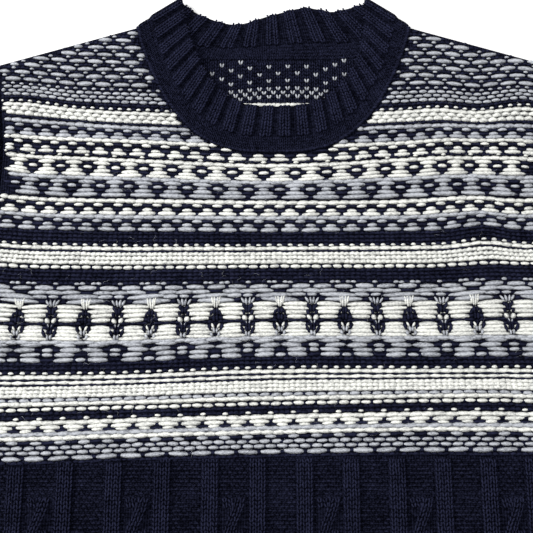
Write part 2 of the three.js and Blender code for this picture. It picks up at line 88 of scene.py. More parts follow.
def clamp(value: float, low: float = 0.0, high: float = 1.0) -> float:
    """The value, kept between low and high."""
    return max(low, min(high, value))


def smoothstep(value: float, low: float, high: float) -> float:
    """0 up to low, 1 from high on, and a smooth rise between."""
    t = clamp((value - low) / (high - low))
    return t * t * (3 - 2 * t)


class Curve:
    """A smooth curve through the rows of a table, read as a value over a place."""

    def __init__(self, rows: Sequence[tuple[float, float]]) -> None:
        """Keep the rows, in rising order of place.

        Args:
            rows: (place, value) pairs.
        """
        self.places = [place for place, _ in rows]
        self.values = [value for _, value in rows]

    def slope(self, i: int) -> float:
        """The curve's slope at its i-th row, from the rows on each side."""
        low, high = max(i - 1, 0), min(i + 1, len(self.places) - 1)
        return (self.values[high] - self.values[low]) / (self.places[high] - self.places[low])

    def __call__(self, at: float) -> float:
        """The value at a place.

        Args:
            at: The place.

        Returns:
            The value, held at the curve's ends.
        """
        i = clamp(bisect.bisect_right(self.places, at) - 1, 0, len(self.places) - 2)
        i = int(i)
        step = self.places[i + 1] - self.places[i]
        t = clamp((at - self.places[i]) / step)
        rise = self.values[i + 1] - self.values[i]
        a = self.slope(i) * step - rise
        b = rise - self.slope(i + 1) * step
        value = lerp(self.values[i], self.values[i + 1], t)
        return value + t * (1 - t) * (a * (1 - t) + b * t)


@dataclass(frozen=True)
class Fold:
    """A soft fold or hollow in the cloth: its middle, heading, reach and height."""

    x: float
    y: float
    heading: float
    length: float
    width: float
    height: float

    def rise(self, x: float, y: float) -> float:
        """How far this fold lifts the cloth at a point.

        Args:
            x: Place across the garment.
            y: Place up the garment.

        Returns:
            The lift.
        """
        turn = math.radians(self.heading)
        dx, dy = x - self.x, y - self.y
        along = (dx * math.cos(turn) + dy * math.sin(turn)) / self.length
        across = (dy * math.cos(turn) - dx * math.sin(turn)) / self.width
        return self.height * math.exp(-along * along - across * across)


FOLDS = (
    Fold(192, 85, 77, 75, 15, 2.0),
    Fold(-212, 60, 92, 90, 16, 1.5),
    Fold(165, 110, 80, 60, 14, -0.9),
    Fold(5, 20, 0, 70, 30, -0.8),
    Fold(-60, -90, 8, 90, 18, 0.9),
    Fold(110, -60, 170, 80, 20, 0.8),
    Fold(330, 60, 140, 60, 16, 1.6),
    Fold(395, -90, 155, 45, 14, 1.5),
    Fold(-325, 50, 42, 60, 17, 1.6),
    Fold(-400, -120, 30, 45, 14, 1.4),
)


def fold_height(x: float, y: float) -> float:
    """The lift of all the folds together at a point."""
    return sum(fold.rise(x, y) for fold in FOLDS)


@dataclass(frozen=True)
class NeckShape:
    """How a neck curve hangs between its corners."""

    power: float
    left: float
    right: float

    def hang(self, x: float, half: float) -> float:
        """The share of the drop at x, for a curve that is half wide on each side."""
        across = min(abs(x) / half, 1.0)
        return (1 - across**self.power) ** (self.left if x < 0 else self.right)


@dataclass(frozen=True)
class Ridge:
    """A flat-topped ridge: half widths at its foot and crest, and its height."""

    foot: float
    crest: float
    height: float

    def rise(self, distance: float) -> float:
        """Height at a distance from the ridge's middle, with rounded shoulders."""
        return self.height * (1 - smoothstep(abs(distance), self.crest, self.foot))


@dataclass(frozen=True)
class Cut:
    """The jumper's cut: its levels, widths, walls and the form of its face."""

    wall: float = 2.8
    seam_gap: float = 0.3
    hollow: float = 2.2
    edge_radius: float = 9.0
    edge_lift: float = 1.3
    edge_wall: float = 2.0
    hem_foot: float = -415.0
    hem_seam: float = -355.0
    yoke_foot: float = -144.0
    stretch: float = -60.0
    underarm: float = -25.0
    neck_half: float = 112.8
    neck_y: float = 205.5
    front_drop: float = 110.0
    back_drop: float = 27.5
    shoulder_slope: float = math.radians(16.8)
    ground_drop: float = 0.55
    rib: Ridge = Ridge(6.5, 4.0, 1.8)
    rib_ramp: float = 5.0
    rib_start: float = -12.5
    rib_pitch: float = 34.8
    rib_spread: float = -0.16
    ribs: range = range(-6, 8)
    cable_panels: tuple[int, ...] = (-5, -3, -1, 1, 3, 5)
    cable_top: float = -170.0
    cable_half: float = 10.0
    cable_strand: float = 4.8
    cable_reach: float = 6.0
    cable_height: float = 2.4
    cable_cross: float = 0.7
    cable_turn: float = 36.0
    cable_ramp: float = 8.0

    def shoulder(self, x: float) -> float:
        """The height in plan of the shoulder seam's line at x."""
        return self.neck_y - (abs(x) - self.neck_half) * math.tan(self.shoulder_slope)

    def top(self, shape: NeckShape, drop: float, x: float) -> float:
        """The upper edge of a panel at x: its neck curve, then the shoulders.

        Args:
            shape: How the neck curve hangs.
            drop: How deep it is.
            x: Place across the garment.

        Returns:
            The edge's y.
        """
        if abs(x) >= self.neck_half:
            return self.shoulder(x)
        return self.neck_y - drop * shape.hang(x, self.neck_half)

    def inside(self, x: float, y: float) -> float:
        """0 at a seamed edge, rising round a quarter circle to 1 inside it.

        Args:
            x: Place across the garment.
            y: Place up the garment.

        Returns:
            The share, from 0 to 1.
        """
        side = SIDE_HALF(y) - abs(x) + max(0.0, y - self.underarm)
        shoulder = (self.shoulder(x) - y) * math.cos(self.shoulder_slope)
        near = min(side, shoulder + 2 * max(0.0, self.neck_half - abs(x)))
        left = 1 - clamp(near / self.edge_radius)
        return math.sqrt(1 - left * left)

    def back_under(self, x: float, y: float) -> float:
        """Height of the back's underside."""
        return self.edge_lift * (1 - self.inside(x, y))

    def back_over(self, x: float, y: float) -> float:
        """Height of the back's upper face, which is the inside of the jumper."""
        return self.wall + self.back_under(x, y)

    def front_under(self, x: float, y: float) -> float:
        """Height of the front's inner face."""
        inner = self.hollow + fold_height(x, y)
        return self.wall + lerp(self.edge_lift + self.seam_gap, inner, self.inside(x, y))

    def front_skin(self, x: float, y: float) -> float:
        """Height of the front's face without its ribs and cables."""
        return self.front_under(x, y) + lerp(self.edge_wall, self.wall, self.inside(x, y))

    def rib_middle(self, k: float) -> float:
        """Where the k-th rib of the navy ground stands, across the chest."""
        return self.rib_start + self.rib_pitch * k + self.rib_spread * k * k

    def rib_height(self, x: float, y: float) -> float:
        """Height of the ribs over the ground.

        Args:
            x: Place across the garment.
            y: Place up the garment.

        Returns:
            The height.
        """
        if y > self.yoke_foot:
            return 0.0
        rise = max(self.rib.rise(x - self.rib_middle(k)) for k in self.ribs)
        return rise * smoothstep(self.yoke_foot - y, 0, self.rib_ramp)

    def cable_middle(self, k: int) -> float:
        """The middle of the panel between ribs k and k + 1."""
        return (self.rib_middle(k) + self.rib_middle(k + 1)) / 2

    def cable_rise(self, offset: float, y: float) -> float:
        """Height of two strands that wind round each other, seen from above.

        Args:
            offset: Distance from the middle of the cable's panel.
            y: Place up the garment.

        Returns:
            The height.
        """
        if y > self.cable_top or abs(offset) >= self.cable_half:
            return 0.0
        phase = (self.cable_top - y) / self.cable_turn * math.pi
        height = 0.0
        for side in (-1, 1):
            middle = side * self.cable_strand * math.cos(phase)
            crown = self.cable_height + side * self.cable_cross * math.sin(phase)
            away = (offset - middle) / self.cable_reach
            height = max(height, crown * (1 - away * away))
        return height * smoothstep(self.cable_top - y, 0, self.cable_ramp)

    def front_over(self, x: float, y: float) -> float:
        """Height of the front's ground, a little under the stitches that lie on it.

        Args:
            x: Place across the garment.
            y: Place up the garment.

        Returns:
            The height.
        """
        relief = self.rib_height(x, y)
        for k in self.cable_panels:
            relief = max(relief, self.cable_rise(x - self.cable_middle(k), y))
        inside = self.inside(x, y)
        return self.front_skin(x, y) + (relief - self.ground_drop) * inside


SIDE_HALF = Curve(
    (
        (-420, 241),
        (-355, 245),
        (-200, 249),
        (-90, 250),
        (-25, 250),
        (-5, 238),
        (25, 225),
        (71, 218),
        (120, 221),
        (170, 230),
        (206, 240),
    )
)
FRONT_NECK = NeckShape(3, 0.86, 0.86)
BACK_NECK = NeckShape(6, 1, 1)
CUT = Cut()


class Cloth:
    """Points and faces of one closed wall of cloth, in garment millimetres."""

    def __init__(self) -> None:
        """Start with nothing laid."""
        self.points: list[tuple[float, float, float]] = []
        self.faces: list[tuple[int, ...]] = []
        self.wales: list[float] = []
        self.levels: list[float] = []

    def add(self, x: float, y: float, z: float, wale: float, level: float) -> int:
        """Lay a point, with its place across and up the knitting in millimetres.

        Args:
            x: Across the garment.
            y: Up the garment.
            z: Height over the surface.
            wale: Place across the knitting.
            level: Place up the chart.

        Returns:
            The point's number.
        """
        self.points.append((x, y, z))
        self.wales.append(wale)
        self.levels.append(level)
        return len(self.points) - 1

    def skin(self, rows: Sequence[Sequence[int]], ring: bool) -> None:
        """Lay quads between neighbouring rows, closed round each where it is a ring.

        Args:
            rows: Numbers of the points, row by row.
            ring: Whether each row closes on itself.
        """
        for low, high in zip(rows, rows[1:]):
            count = len(low)
            for i in range(count if ring else count - 1):
                j = (i + 1) % count
                self.faces.append((low[i], low[j], high[j], high[i]))

    def join(
        self,
        low: Sequence[int],
        low_shares: Sequence[float],
        high: Sequence[int],
        high_shares: Sequence[float],
    ) -> None:
        """Join two rows of points side by side, by the share of the way along each.

        Args:
            low: Points of the first row.
            low_shares: Their shares of its length.
            high: Points of the other row.
            high_shares: Their shares of its length.
        """
        i, j = 0, 0
        while i < len(low) - 1 or j < len(high) - 1:
            low_next = low_shares[i + 1] if i < len(low) - 1 else math.inf
            high_next = high_shares[j + 1] if j < len(high) - 1 else math.inf
            if low_next <= high_next:
                self.faces.append((low[i], low[i + 1], high[j]))
                i += 1
            else:
                self.faces.append((low[i], high[j + 1], high[j]))
                j += 1

    def volume(self) -> float:
        """Signed volume, which is negative where the faces point inwards.

        Returns:
            The volume, in cubic millimetres.
        """
        total = 0.0
        for face in self.faces:
            a = self.points[face[0]]
            for m, n in zip(face[1:], face[2:]):
                b, c = self.points[m], self.points[n]
                total += a[0] * (b[1] * c[2] - b[2] * c[1])
                total += a[1] * (b[2] * c[0] - b[0] * c[2])
                total += a[2] * (b[0] * c[1] - b[1] * c[0])
        return total / 6

    def mirrored(self) -> "Cloth":
        """The same cloth on the other side of the middle line.

        Returns:
            The mirrored wall.
        """
        twin = Cloth()
        twin.points = [(-x, y, z) for x, y, z in self.points]
        twin.faces = list(self.faces)
        twin.wales = [-wale for wale in self.wales]
        twin.levels = list(self.levels)
        return twin

    def build(self, name: str, finish: bpy.types.Material) -> bpy.types.Object:
        """Make the wall's object, smooth, dressed and facing outwards.

        Args:
            name: The piece's name.
            finish: Its material.

        Returns:
            The new object.
        """
        turned = self.volume() < 0
        faces = [face[::-1] for face in self.faces] if turned else self.faces
        mesh = bpy.data.meshes.new(name)
        mesh.from_pydata([place(*point) for point in self.points], [], faces)
        for key, values in (("wale", self.wales), ("level", self.levels)):
            mesh.attributes.new(key, "FLOAT", "POINT").data.foreach_set("value", values)
        mesh.shade_smooth()
        mesh.materials.append(finish)
        made = bpy.data.objects.new(name, mesh)
        bpy.context.scene.collection.objects.link(made)
        return made


def place(x: float, y: float, z: float) -> tuple[float, float, float]:
    """A garment point in the frame's metres."""
    return x * MM, (y + GARMENT_RISE) * MM, z * MM


@dataclass(frozen=True)
class Grid:
    """Columns, as shares of the half width, and rows of a panel's face."""

    columns: Sequence[float]
    levels: Sequence[float]
    stretches: Sequence[float] = ()

    def shares(self) -> list[float]:
        """How far up each row stands, for joining two faces at their edge.

        Returns:
            A share for each row, above 1 where it stretches.
        """
        span = CUT.stretch - CUT.hem_seam
        low = [(y - CUT.hem_seam) / span for y in self.levels]
        return low + [1 + up for up in self.stretches]


def spaced(start: float, end: float, step: float) -> list[float]:
    """Evenly spaced places from start up to but not at end, about a step apart."""
    count = max(1, round((end - start) / step))
    return [lerp(start, end, i / count) for i in range(count)]


def thinned(marks: Iterable[float], room: float) -> list[float]:
    """The marks in rising order, without any that stands within the room of the last.

    Args:
        marks: The marks, in any order.
        room: The least gap that is kept.

    Returns:
        The marks that are kept.
    """
    kept: list[float] = []
    for mark in sorted(marks):
        if not kept or mark - kept[-1] > room:
            kept.append(mark)
    return kept


@dataclass(frozen=True)
class PanelCut:
    """Where a body panel's columns and rows meet in plan."""

    shape: NeckShape
    drop: float
    passes: int = 12
    pace: float = 0.7

    def at(self, column: float, level: float | None, up: float = 0.0) -> tuple[float, float]:
        """Where a column meets a row: one at a level, or one that stretches up.

        Args:
            column: Share of the half width, from -1 to 1.
            level: The row's y, or None where it stretches to the neck and shoulders.
            up: Share of the way from the stretch's start to the panel's upper edge.

        Returns:
            The x and y of the point.
        """
        if level is not None:
            return column * SIDE_HALF(level), level
        crest = CUT.neck_y
        for _ in range(self.passes):
            crest = lerp(crest, CUT.top(self.shape, self.drop, column * SIDE_HALF(crest)), self.pace)
        y = lerp(CUT.stretch, crest, up)
        return column * SIDE_HALF(y), y

    def wall(self, over: Height, over_grid: Grid, under: Height, under_grid: Grid) -> Cloth:
        """Make a wall between two height fields over this cut.

        Args:
            over: Height of the upper face.
            over_grid: Its columns and rows.
            under: Height of the lower face.
            under_grid: Its columns and rows.

        Returns:
            The closed wall.
        """
        cloth = Cloth()

        def lay(grid: Grid, height: Height) -> list[list[int]]:
            """Lay one face's points, row by row.

            Args:
                grid: Its columns and rows.
                height: Its height.

            Returns:
                Numbers of the points, row by row.
            """
            spots = [(level, 0.0) for level in grid.levels]
            spots += [(None, up) for up in grid.stretches]
            laid = []
            for level, up in spots:
                row = []
                for column in grid.columns:
                    x, y = self.at(column, level, up)
                    row.append(cloth.add(x, y, height(x, y), x, y))
                laid.append(row)
            return laid

        top, foot = lay(over_grid, over), lay(under_grid, under)
        cloth.skin(top, False)
        cloth.skin([row[::-1] for row in foot], False)
        columns, rows = over_grid.columns, over_grid.shares()
        foot_columns, foot_rows = under_grid.columns, under_grid.shares()

        def back(shares: Sequence[float]) -> list[float]:
            """Shares read from the far end."""
            return [-share for share in reversed(shares)]

        cloth.join(foot[0], foot_columns, top[0], columns)
        cloth.join([row[-1] for row in foot], foot_rows, [row[-1] for row in top], rows)
        cloth.join(foot[-1][::-1], back(foot_columns), top[-1][::-1], back(columns))
        cloth.join(
            [row[0] for row in reversed(foot)],
            back(foot_rows),
            [row[0] for row in reversed(top)],
            back(rows),
        )
        return cloth


RIM = (0.964, 0.975, 0.986, 0.992, 0.996, 1.0)
CHEST_HALF = 250.0
NECK_ROWS = (0.93, 0.96, 0.98, 0.99, 1.0)  # shares of the stretch, close to the neck
RIB_STEPS = (-6.5, -5.2, -4.0, 0.0, 4.0, 5.2, 6.5)  # across one of the ground's ribs
CREST_STEPS = (-0.4, -0.3, -0.2, 0.0, 0.2, 0.3, 0.4)  # across a hem or cuff rib, as a share


def plain_columns(step: float) -> list[float]:
    """Columns an even step apart, closer at both side seams, in rising order.

    Args:
        step: Distance between columns at the chest.

    Returns:
        Shares of the half width, from -1 to 1.
    """
    inner = spaced(-RIM[0], RIM[0], step / CHEST_HALF)
    corner = CUT.neck_half / SIDE_HALF(CUT.neck_y)
    marks = [*inner, *(-share for share in RIM), *RIM, corner, -corner]
    return thinned(marks, 0.0015)


def neck_stretches(count: int) -> list[float]:
    """Rows that stretch up to the neck, closer towards its edge and the shoulders."""
    return [*(i / count * NECK_ROWS[0] for i in range(count)), *NECK_ROWS]


class BodyPanels:
    """The front and back panels' walls of cloth."""

    front_cut = PanelCut(FRONT_NECK, CUT.front_drop)
    back_cut = PanelCut(BACK_NECK, CUT.back_drop)

    def front(self) -> Cloth:
        """The front panel, with its ribs and cables in the face.

        Returns:
            The closed wall.
        """
        marks = plain_columns(5.0)
        for k in CUT.ribs:
            for step in RIB_STEPS:
                marks.append((CUT.rib_middle(k) + step) / CHEST_HALF)
        columns = thinned((mark for mark in marks if abs(mark) <= 1), 0.0035)
        levels = spaced(CUT.hem_seam, CUT.yoke_foot - CUT.rib_ramp, 4.5)
        levels += spaced(CUT.yoke_foot - CUT.rib_ramp, CUT.stretch, 6.0)
        over = Grid(columns, levels, neck_stretches(28))
        return self.front_cut.wall(CUT.front_over, over, CUT.front_under, self.plain_grid())

    def back(self) -> Cloth:
        """The back panel, whose upper face is the inside of the jumper."""
        grid = self.plain_grid()
        return self.back_cut.wall(CUT.back_over, grid, CUT.back_under, grid)

    def plain_grid(self) -> Grid:
        """The columns and rows of a face without relief."""
        levels = spaced(CUT.hem_seam, CUT.stretch, 24.0)
        return Grid(plain_columns(12.0), levels, neck_stretches(12))


@dataclass(frozen=True)
class HemRib:
    """The ribs at the foot of the front and back."""

    count: int = 34
    rib: Ridge = Ridge(0.40, 0.20, 1.3)
    rise: float = 4.0
    sunk: float = 0.4

    def relief(self, x: float, y: float) -> float:
        """Height of the hem's ribs.

        Args:
            x: Place across the garment.
            y: Place up the garment.

        Returns:
            The height.
        """
        turns = (x / SIDE_HALF(y) + 1) / 2 * self.count - 0.5
        ramp = smoothstep(CUT.hem_seam - CUT.seam_gap - y, 0, self.rise)
        return self.rib.rise(turns - round(turns)) * ramp

    def over(self, x: float, y: float) -> float:
        """Height of the front hem's face."""
        return CUT.front_skin(x, y) + (self.relief(x, y) - self.sunk) * CUT.inside(x, y)

    def wall(self, front: bool) -> Cloth:
        """Make the rib of one panel.

        Args:
            front: True for the front's rib, False for the back's.

        Returns:
            The closed wall.
        """
        seam = CUT.hem_seam - CUT.seam_gap
        levels = [*spaced(CUT.hem_foot, seam - self.rise, 8.0), seam - self.rise, seam - 2, seam]
        marks = [*RIM, *(-share for share in RIM)]
        for k in range(self.count):
            for step in (-0.5, *CREST_STEPS):
                marks.append((k + 0.5 + step) / self.count * 2 - 1)
        columns = thinned((mark for mark in marks if abs(mark) <= 1), 0.003)
        cut = PanelCut(BACK_NECK, 0.0)
        grid = Grid(columns, levels)
        if front:
            return cut.wall(self.over, grid, CUT.front_under, Grid(plain_columns(12.0), levels))
        plain = Grid(plain_columns(12.0), levels)
        return cut.wall(CUT.back_over, plain, CUT.back_under, plain)


CAP_MARKS = ((300, 147), (360, 114), (403, 75))  # the cap's outer edge between its ends
CAP_CUTS = ((0, 0), (5, 0.3), (14, 0.58), (28, 0.82), (50, 1))  # down the sleeve, along the edge
PATTERN_CUTS = (66, 85, 102)


@dataclass(frozen=True)
class Sleeve:
    """One sleeve, drawn on the +x side and laid out from the underarm."""

    turn: float = math.radians(25)
    width: float = 185.0
    wrist: float = 112.0
    seam: float = 370.0
    pattern: float = 119.0
    cap_end: float = 50.0
    top: float = 7.8
    middle: float = 3.9
    ribs: int = 5
    fold: float = 5.0
    chord_room: float = 0.35
    chart_middle: float = 82.0
    wale: float = 4.1
    ground_drop: float = 0.5

    def point(self, down: float, across: float) -> tuple[float, float]:
        """A point down the sleeve and across it from the underarm.

        Args:
            down: Distance down the sleeve.
            across: Distance across the sleeve.

        Returns:
            The point's x and y.
        """
        x = SIDE_HALF(CUT.underarm) + down * math.sin(self.turn) + across * math.cos(self.turn)
        y = CUT.underarm - down * math.cos(self.turn) + across * math.sin(self.turn)
        return x, y

    def measure(self, x: float, y: float) -> tuple[float, float]:
        """How far down the sleeve and across it a point lies.

        Args:
            x: Place across the garment.
            y: Place up the garment.

        Returns:
            Distances down the sleeve and across it.
        """
        dx, dy = x - SIDE_HALF(CUT.underarm), y - CUT.underarm
        down = dx * math.sin(self.turn) - dy * math.cos(self.turn)
        return down, dx * math.cos(self.turn) + dy * math.sin(self.turn)

    def width_at(self, down: float) -> float:
        """The sleeve's width where it is laid flat."""
        return lerp(self.width, self.wrist, down / self.seam)

    def tip(self) -> tuple[float, float]:
        """Where the sleeve's cap meets the shoulder."""
        return BodyPanels.back_cut.at(1.0, None, 1.0)

    def armhole(self, share: float) -> tuple[float, float]:
        """The armhole from the underarm up to the shoulder."""
        y = lerp(CUT.underarm, self.tip()[1], share)
        return SIDE_HALF(y) + self.chord_room, y

    def outer(self, share: float) -> tuple[float, float]:
        """The cap's outer edge, from the shoulder down to where the sleeve is straight.

        Args:
            share: Share of the edge's length.

        Returns:
            The point's x and y.
        """
        corner = self.point(self.cap_end, self.width_at(self.cap_end))
        marks = [self.armhole(1.0), *CAP_MARKS, corner]
        lengths = [0.0]
        for a, b in zip(marks, marks[1:]):
            lengths.append(lengths[-1] + math.dist(a, b))
        at = share * lengths[-1]
        curve_x = Curve([(length, mark[0]) for length, mark in zip(lengths, marks)])
        curve_y = Curve([(length, mark[1]) for length, mark in zip(lengths, marks)])
        return curve_x(at), curve_y(at)

    def surface(self, x: float, y: float) -> float:
        """Height of the sleeve's ground at a point in plan, for x above 0.

        Args:
            x: Place across the garment.
            y: Place up the garment.

        Returns:
            The height.
        """
        down, across = self.measure(x, y)
        near = min(self.from_fold(x, y), across if down > 0 else math.inf)
        left = 1 - clamp(near / self.fold)
        height = self.middle + (self.top - self.middle) * math.sqrt(1 - left * left)
        return height + fold_height(x, y) + self.relief(down, across) - self.ground_drop

    def within(self, x: float, y: float, margin: float = 2.2) -> bool:
        """Whether a point is on the patterned part of the sleeve, inside its edges.

        Args:
            x: Place across the garment.
            y: Place up the garment.
            margin: How far inside the edges it has to be.

        Returns:
            Whether it is.
        """
        down, across = self.measure(x, y)
        if down > self.pattern + 1:
            return False
        if down >= self.cap_end:
            return margin < across < self.width_at(down) - margin
        if y > CUT.underarm and x < SIDE_HALF(y) + self.chord_room + margin:
            return False
        if y <= CUT.underarm and across < margin:
            return False
        edge, crossings = self.outline(), 0
        for (ax, ay), (bx, by) in zip(edge, edge[1:] + edge[:1]):
            if (ay > y) != (by > y) and x < ax + (y - ay) / (by - ay) * (bx - ax):
                crossings += 1
        return crossings % 2 == 1 and self.from_fold(x, y) > margin

    def outline(self) -> list[tuple[float, float]]:
        """The cap's outline: up the armhole, then down the outer fold."""
        hole = [self.armhole(i / 20) for i in range(21)]
        return [*hole, *self.cap_marks, self.point(self.cap_end, 0.0)]

    def from_fold(self, x: float, y: float) -> float:
        """Distance from a point to the sleeve's outer fold.

        Args:
            x: Place across the garment.
            y: Place up the garment.

        Returns:
            The distance.
        """
        down, across = self.measure(x, y)
        if down >= self.cap_end:
            return self.width_at(down) - across
        return min(math.dist((x, y), mark) for mark in self.cap_marks)

    @cached_property
    def cap_marks(self) -> list[tuple[float, float]]:
        """Points along the cap's outer edge."""
        return [self.outer(i / 60) for i in range(61)]

    def relief(self, down: float, across: float) -> float:
        """Height of the sleeve's ribs below its pattern.

        Args:
            down: Distance down the sleeve.
            across: Distance across the sleeve.

        Returns:
            The height.
        """
        width = self.width_at(max(down, 0.0))
        share = across / width
        nearest = min(abs(share - (k + 0.5) / self.ribs) for k in range(self.ribs))
        return CUT.rib.rise(nearest * width) * smoothstep(down - self.pattern, 0, CUT.rib_ramp)

    def stations(self) -> list["Station"]:
        """Cuts across the sleeve: they fan out round the cap, then run square to it.

        Returns:
            The cuts, from the armhole down.
        """
        tip, start = self.armhole(1.0), self.armhole(0.0)
        end = self.point(self.cap_end, 0.0)
        made = []
        for down, share in CAP_CUTS:
            t = down / self.cap_end
            low = (lerp(start[0], end[0], t), lerp(start[1], end[1], t))
            made.append(Station(low, self.outer(share), down, (1 - share) ** 2, tip))
        downs = [*PATTERN_CUTS, self.pattern, self.pattern + 5, *spaced(134, self.seam, 12.0)]
        for down in [*downs, self.seam]:
            high = self.point(down, self.width_at(down))
            made.append(Station(self.point(down, 0.0), high, down))
        return made

    def wall(self) -> Cloth:
        """The sleeve's tube, open at the armhole and at the cuff.

        Returns:
            The closed wall.
        """

        def marks(width: float) -> list[float]:
            """Shares across the top where ribs rise and fall."""
            return [(k + 0.5) / self.ribs + s / width for k in range(self.ribs) for s in RIB_STEPS]

        def rise(station: "Station", share: float, x: float, y: float) -> float:
            """Height of the sleeve's face over its plain crown."""
            relief = self.relief(station.down, share * station.width)
            return fold_height(x, y) + relief - self.ground_drop

        return flat_tube(self.stations(), marks, rise)


@dataclass(frozen=True)
class Station:
    """One cut across a flattened tube, bowed to the armhole where the cap starts."""

    low: tuple[float, float]
    high: tuple[float, float]
    down: float
    bow: float = 0.0
    tip: tuple[float, float] = (0.0, 0.0)

    @property
    def width(self) -> float:
        """How far it is across."""
        return math.dist(self.low, self.high)

    def at(self, share: float) -> tuple[float, float]:
        """The point at a share of the way across.

        Args:
            share: Share of the way across.

        Returns:
            The point's x and y.
        """
        x, y = lerp(self.low[0], self.high[0], share), lerp(self.low[1], self.high[1], share)
        if self.bow:
            hole, start = SLEEVE.armhole(share), SLEEVE.armhole(0.0)
            x += self.bow * (hole[0] - lerp(start[0], self.tip[0], share))
            y += self.bow * (hole[1] - lerp(start[1], self.tip[1], share))
        return x, y


SLEEVE = Sleeve()
FOLD_TURNS = tuple(math.radians(a) for a in (0, 22, 45, 67))
SOLE_COUNT = 26
LINING_SHARES = (0.2, 0.35, 0.5, 0.65, 0.8)
LINING_TIP, LINING_CORNER = 3.2, 8.0  # from a flat tube's fold, where its inside starts


def flat_tube(
    stations: Sequence[Station],
    marks: Callable[[float], list[float]],
    rise: Callable[[Station, float, float, float], float],
) -> Cloth:
    """Make an open tube that lies flat, a wall between its outer and inner rings.

    Args:
        stations: Cuts across the tube.
        marks: Shares across the top where a station of a given width has points.
        rise: Height of the face over the plain crown.

    Returns:
        The closed wall.
    """
    cloth, outside, inside = Cloth(), [], []
    half, radius = SLEEVE.middle, SLEEVE.fold
    ceiling = CUT.wall + CUT.hollow
    for station in stations:
        width = station.width
        rim = [(radius * (1 - math.cos(a)) / width, math.sin(a)) for a in FOLD_TURNS]
        first, last = radius / width, 1 - radius / width
        ring = [(s, half * (1 - h), False) for s, h in rim]
        ring += [(lerp(first, last, i / SOLE_COUNT), 0.0, False) for i in range(SOLE_COUNT + 1)]
        ring += [(1 - s, half * (1 - h), False) for s, h in reversed(rim)]
        ring += [(1 - s, half * (1 + h), False) for s, h in rim[1:]]
        crown = sorted([first, *marks(width), last], reverse=True)
        ring += [(s, SLEEVE.top, True) for s in crown]
        ring += [(s, half * (1 + h), False) for s, h in reversed(rim[1:])]
        row = []
        for share, z, top in ring:
            x, y = station.at(share)
            lift = rise(station, share, x, y) if top else 0.0
            down, across = SLEEVE.measure(x, y)
            level = CUT.yoke_foot + SLEEVE.pattern - down
            row.append(cloth.add(x, y, z + lift, across, level))
        outside.append(row)
        tip, corner = LINING_TIP / width, LINING_CORNER / width
        lining = [(tip, half, False), (corner, CUT.wall, False)]
        lining += [(s, CUT.wall, False) for s in LINING_SHARES]
        lining += [(1 - corner, CUT.wall, False), (1 - tip, half, False)]
        lining += [(1 - corner, ceiling, False)]
        lining += [(s, ceiling, True) for s in reversed(LINING_SHARES)] + [(corner, ceiling, False)]
        row = []
        for share, z, top in lining:
            x, y = station.at(share)
            lift = fold_height(x, y) if top else 0.0
            row.append(cloth.add(x, y, z + lift, share * width, CUT.yoke_foot))
        inside.append(row)
    cloth.skin(outside, True)
    cloth.skin([ring[::-1] for ring in inside], True)
    for end in (0, -1):
        outer, inner = [*outside[end], outside[end][0]], [*inside[end], inside[end][0]]
        outer_shares = [i / (len(outer) - 1) for i in range(len(outer))]
        inner_shares = [i / (len(inner) - 1) for i in range(len(inner))]
        if end == 0:
            cloth.join(inner, inner_shares, outer, outer_shares)
        else:
            cloth.join(outer, outer_shares, inner, inner_shares)
    return cloth


CUFF_WIDTHS = Curve(((370.3, 110), (377, 100), (400, 95), (430, 97)))
CUFF_CUTS = (370.3, 372, 374.5, 377, 382, 390, 400, 410, 420)


@dataclass(frozen=True)
class Cuff:
    """A cuff's rib, drawn on the +x side."""

    count: int = 8
    foot: float = 430.0
    rib: Ridge = Ridge(0.40, 0.20, 1.3)
    rise: float = 4.0
    sunk: float = 0.4

    def width_at(self, down: float) -> float:
        """How wide the cuff lies: drawn in below the sleeve's seam."""
        return CUFF_WIDTHS(down)

    def start(self, down: float) -> float:
        """How far across the sleeve the cuff's near edge lies."""
        return (SLEEVE.wrist - self.width_at(down)) / 2

    def relief(self, down: float, share: float) -> float:
        """Height of the cuff's ribs.

        Args:
            down: Distance down the sleeve.
            share: Share of the way across.

        Returns:
            The height.
        """
        turns = share * self.count - 0.5
        inset = smoothstep(min(share, 1 - share), 0.03, 0.075)
        return self.rib.rise(turns - round(turns)) * smoothstep(down - SLEEVE.seam, 0, self.rise) * inset

    def surface(self, down: float, share: float) -> float:
        """Height of the cuff's face.

        Args:
            down: Distance down the sleeve.
            share: Share of the way across.

        Returns:
            The height.
        """
        width = self.width_at(down)
        left = 1 - clamp(min(share, 1 - share) * width / SLEEVE.fold)
        height = SLEEVE.middle + (SLEEVE.top - SLEEVE.middle) * math.sqrt(1 - left * left)
        x, y = SLEEVE.point(down, self.start(down) + share * width)
        return height + fold_height(x, y) + self.relief(down, share) - self.sunk

    def wall(self) -> Cloth:
        """The cuff's tube.

        Returns:
            The closed wall.
        """
        stations = []
        for down in (*CUFF_CUTS, self.foot):
            low = SLEEVE.point(down, self.start(down))
            high = SLEEVE.point(down, self.start(down) + self.width_at(down))
            stations.append(Station(low, high, down))
        shares = [(k + 0.5 + s) / self.count for k in range(self.count) for s in CREST_STEPS]
        shares = [share for share in shares if 0.06 < share < 0.94]

        def rise(station: Station, share: float, x: float, y: float) -> float:
            """Height of the cuff's face over its plain crown."""
            return fold_height(x, y) + self.relief(station.down, share) - self.sunk

        return flat_tube(stations, lambda _: shares, rise)


CUFF = Cuff()
HEM = HemRib()


Point = tuple[float, float]


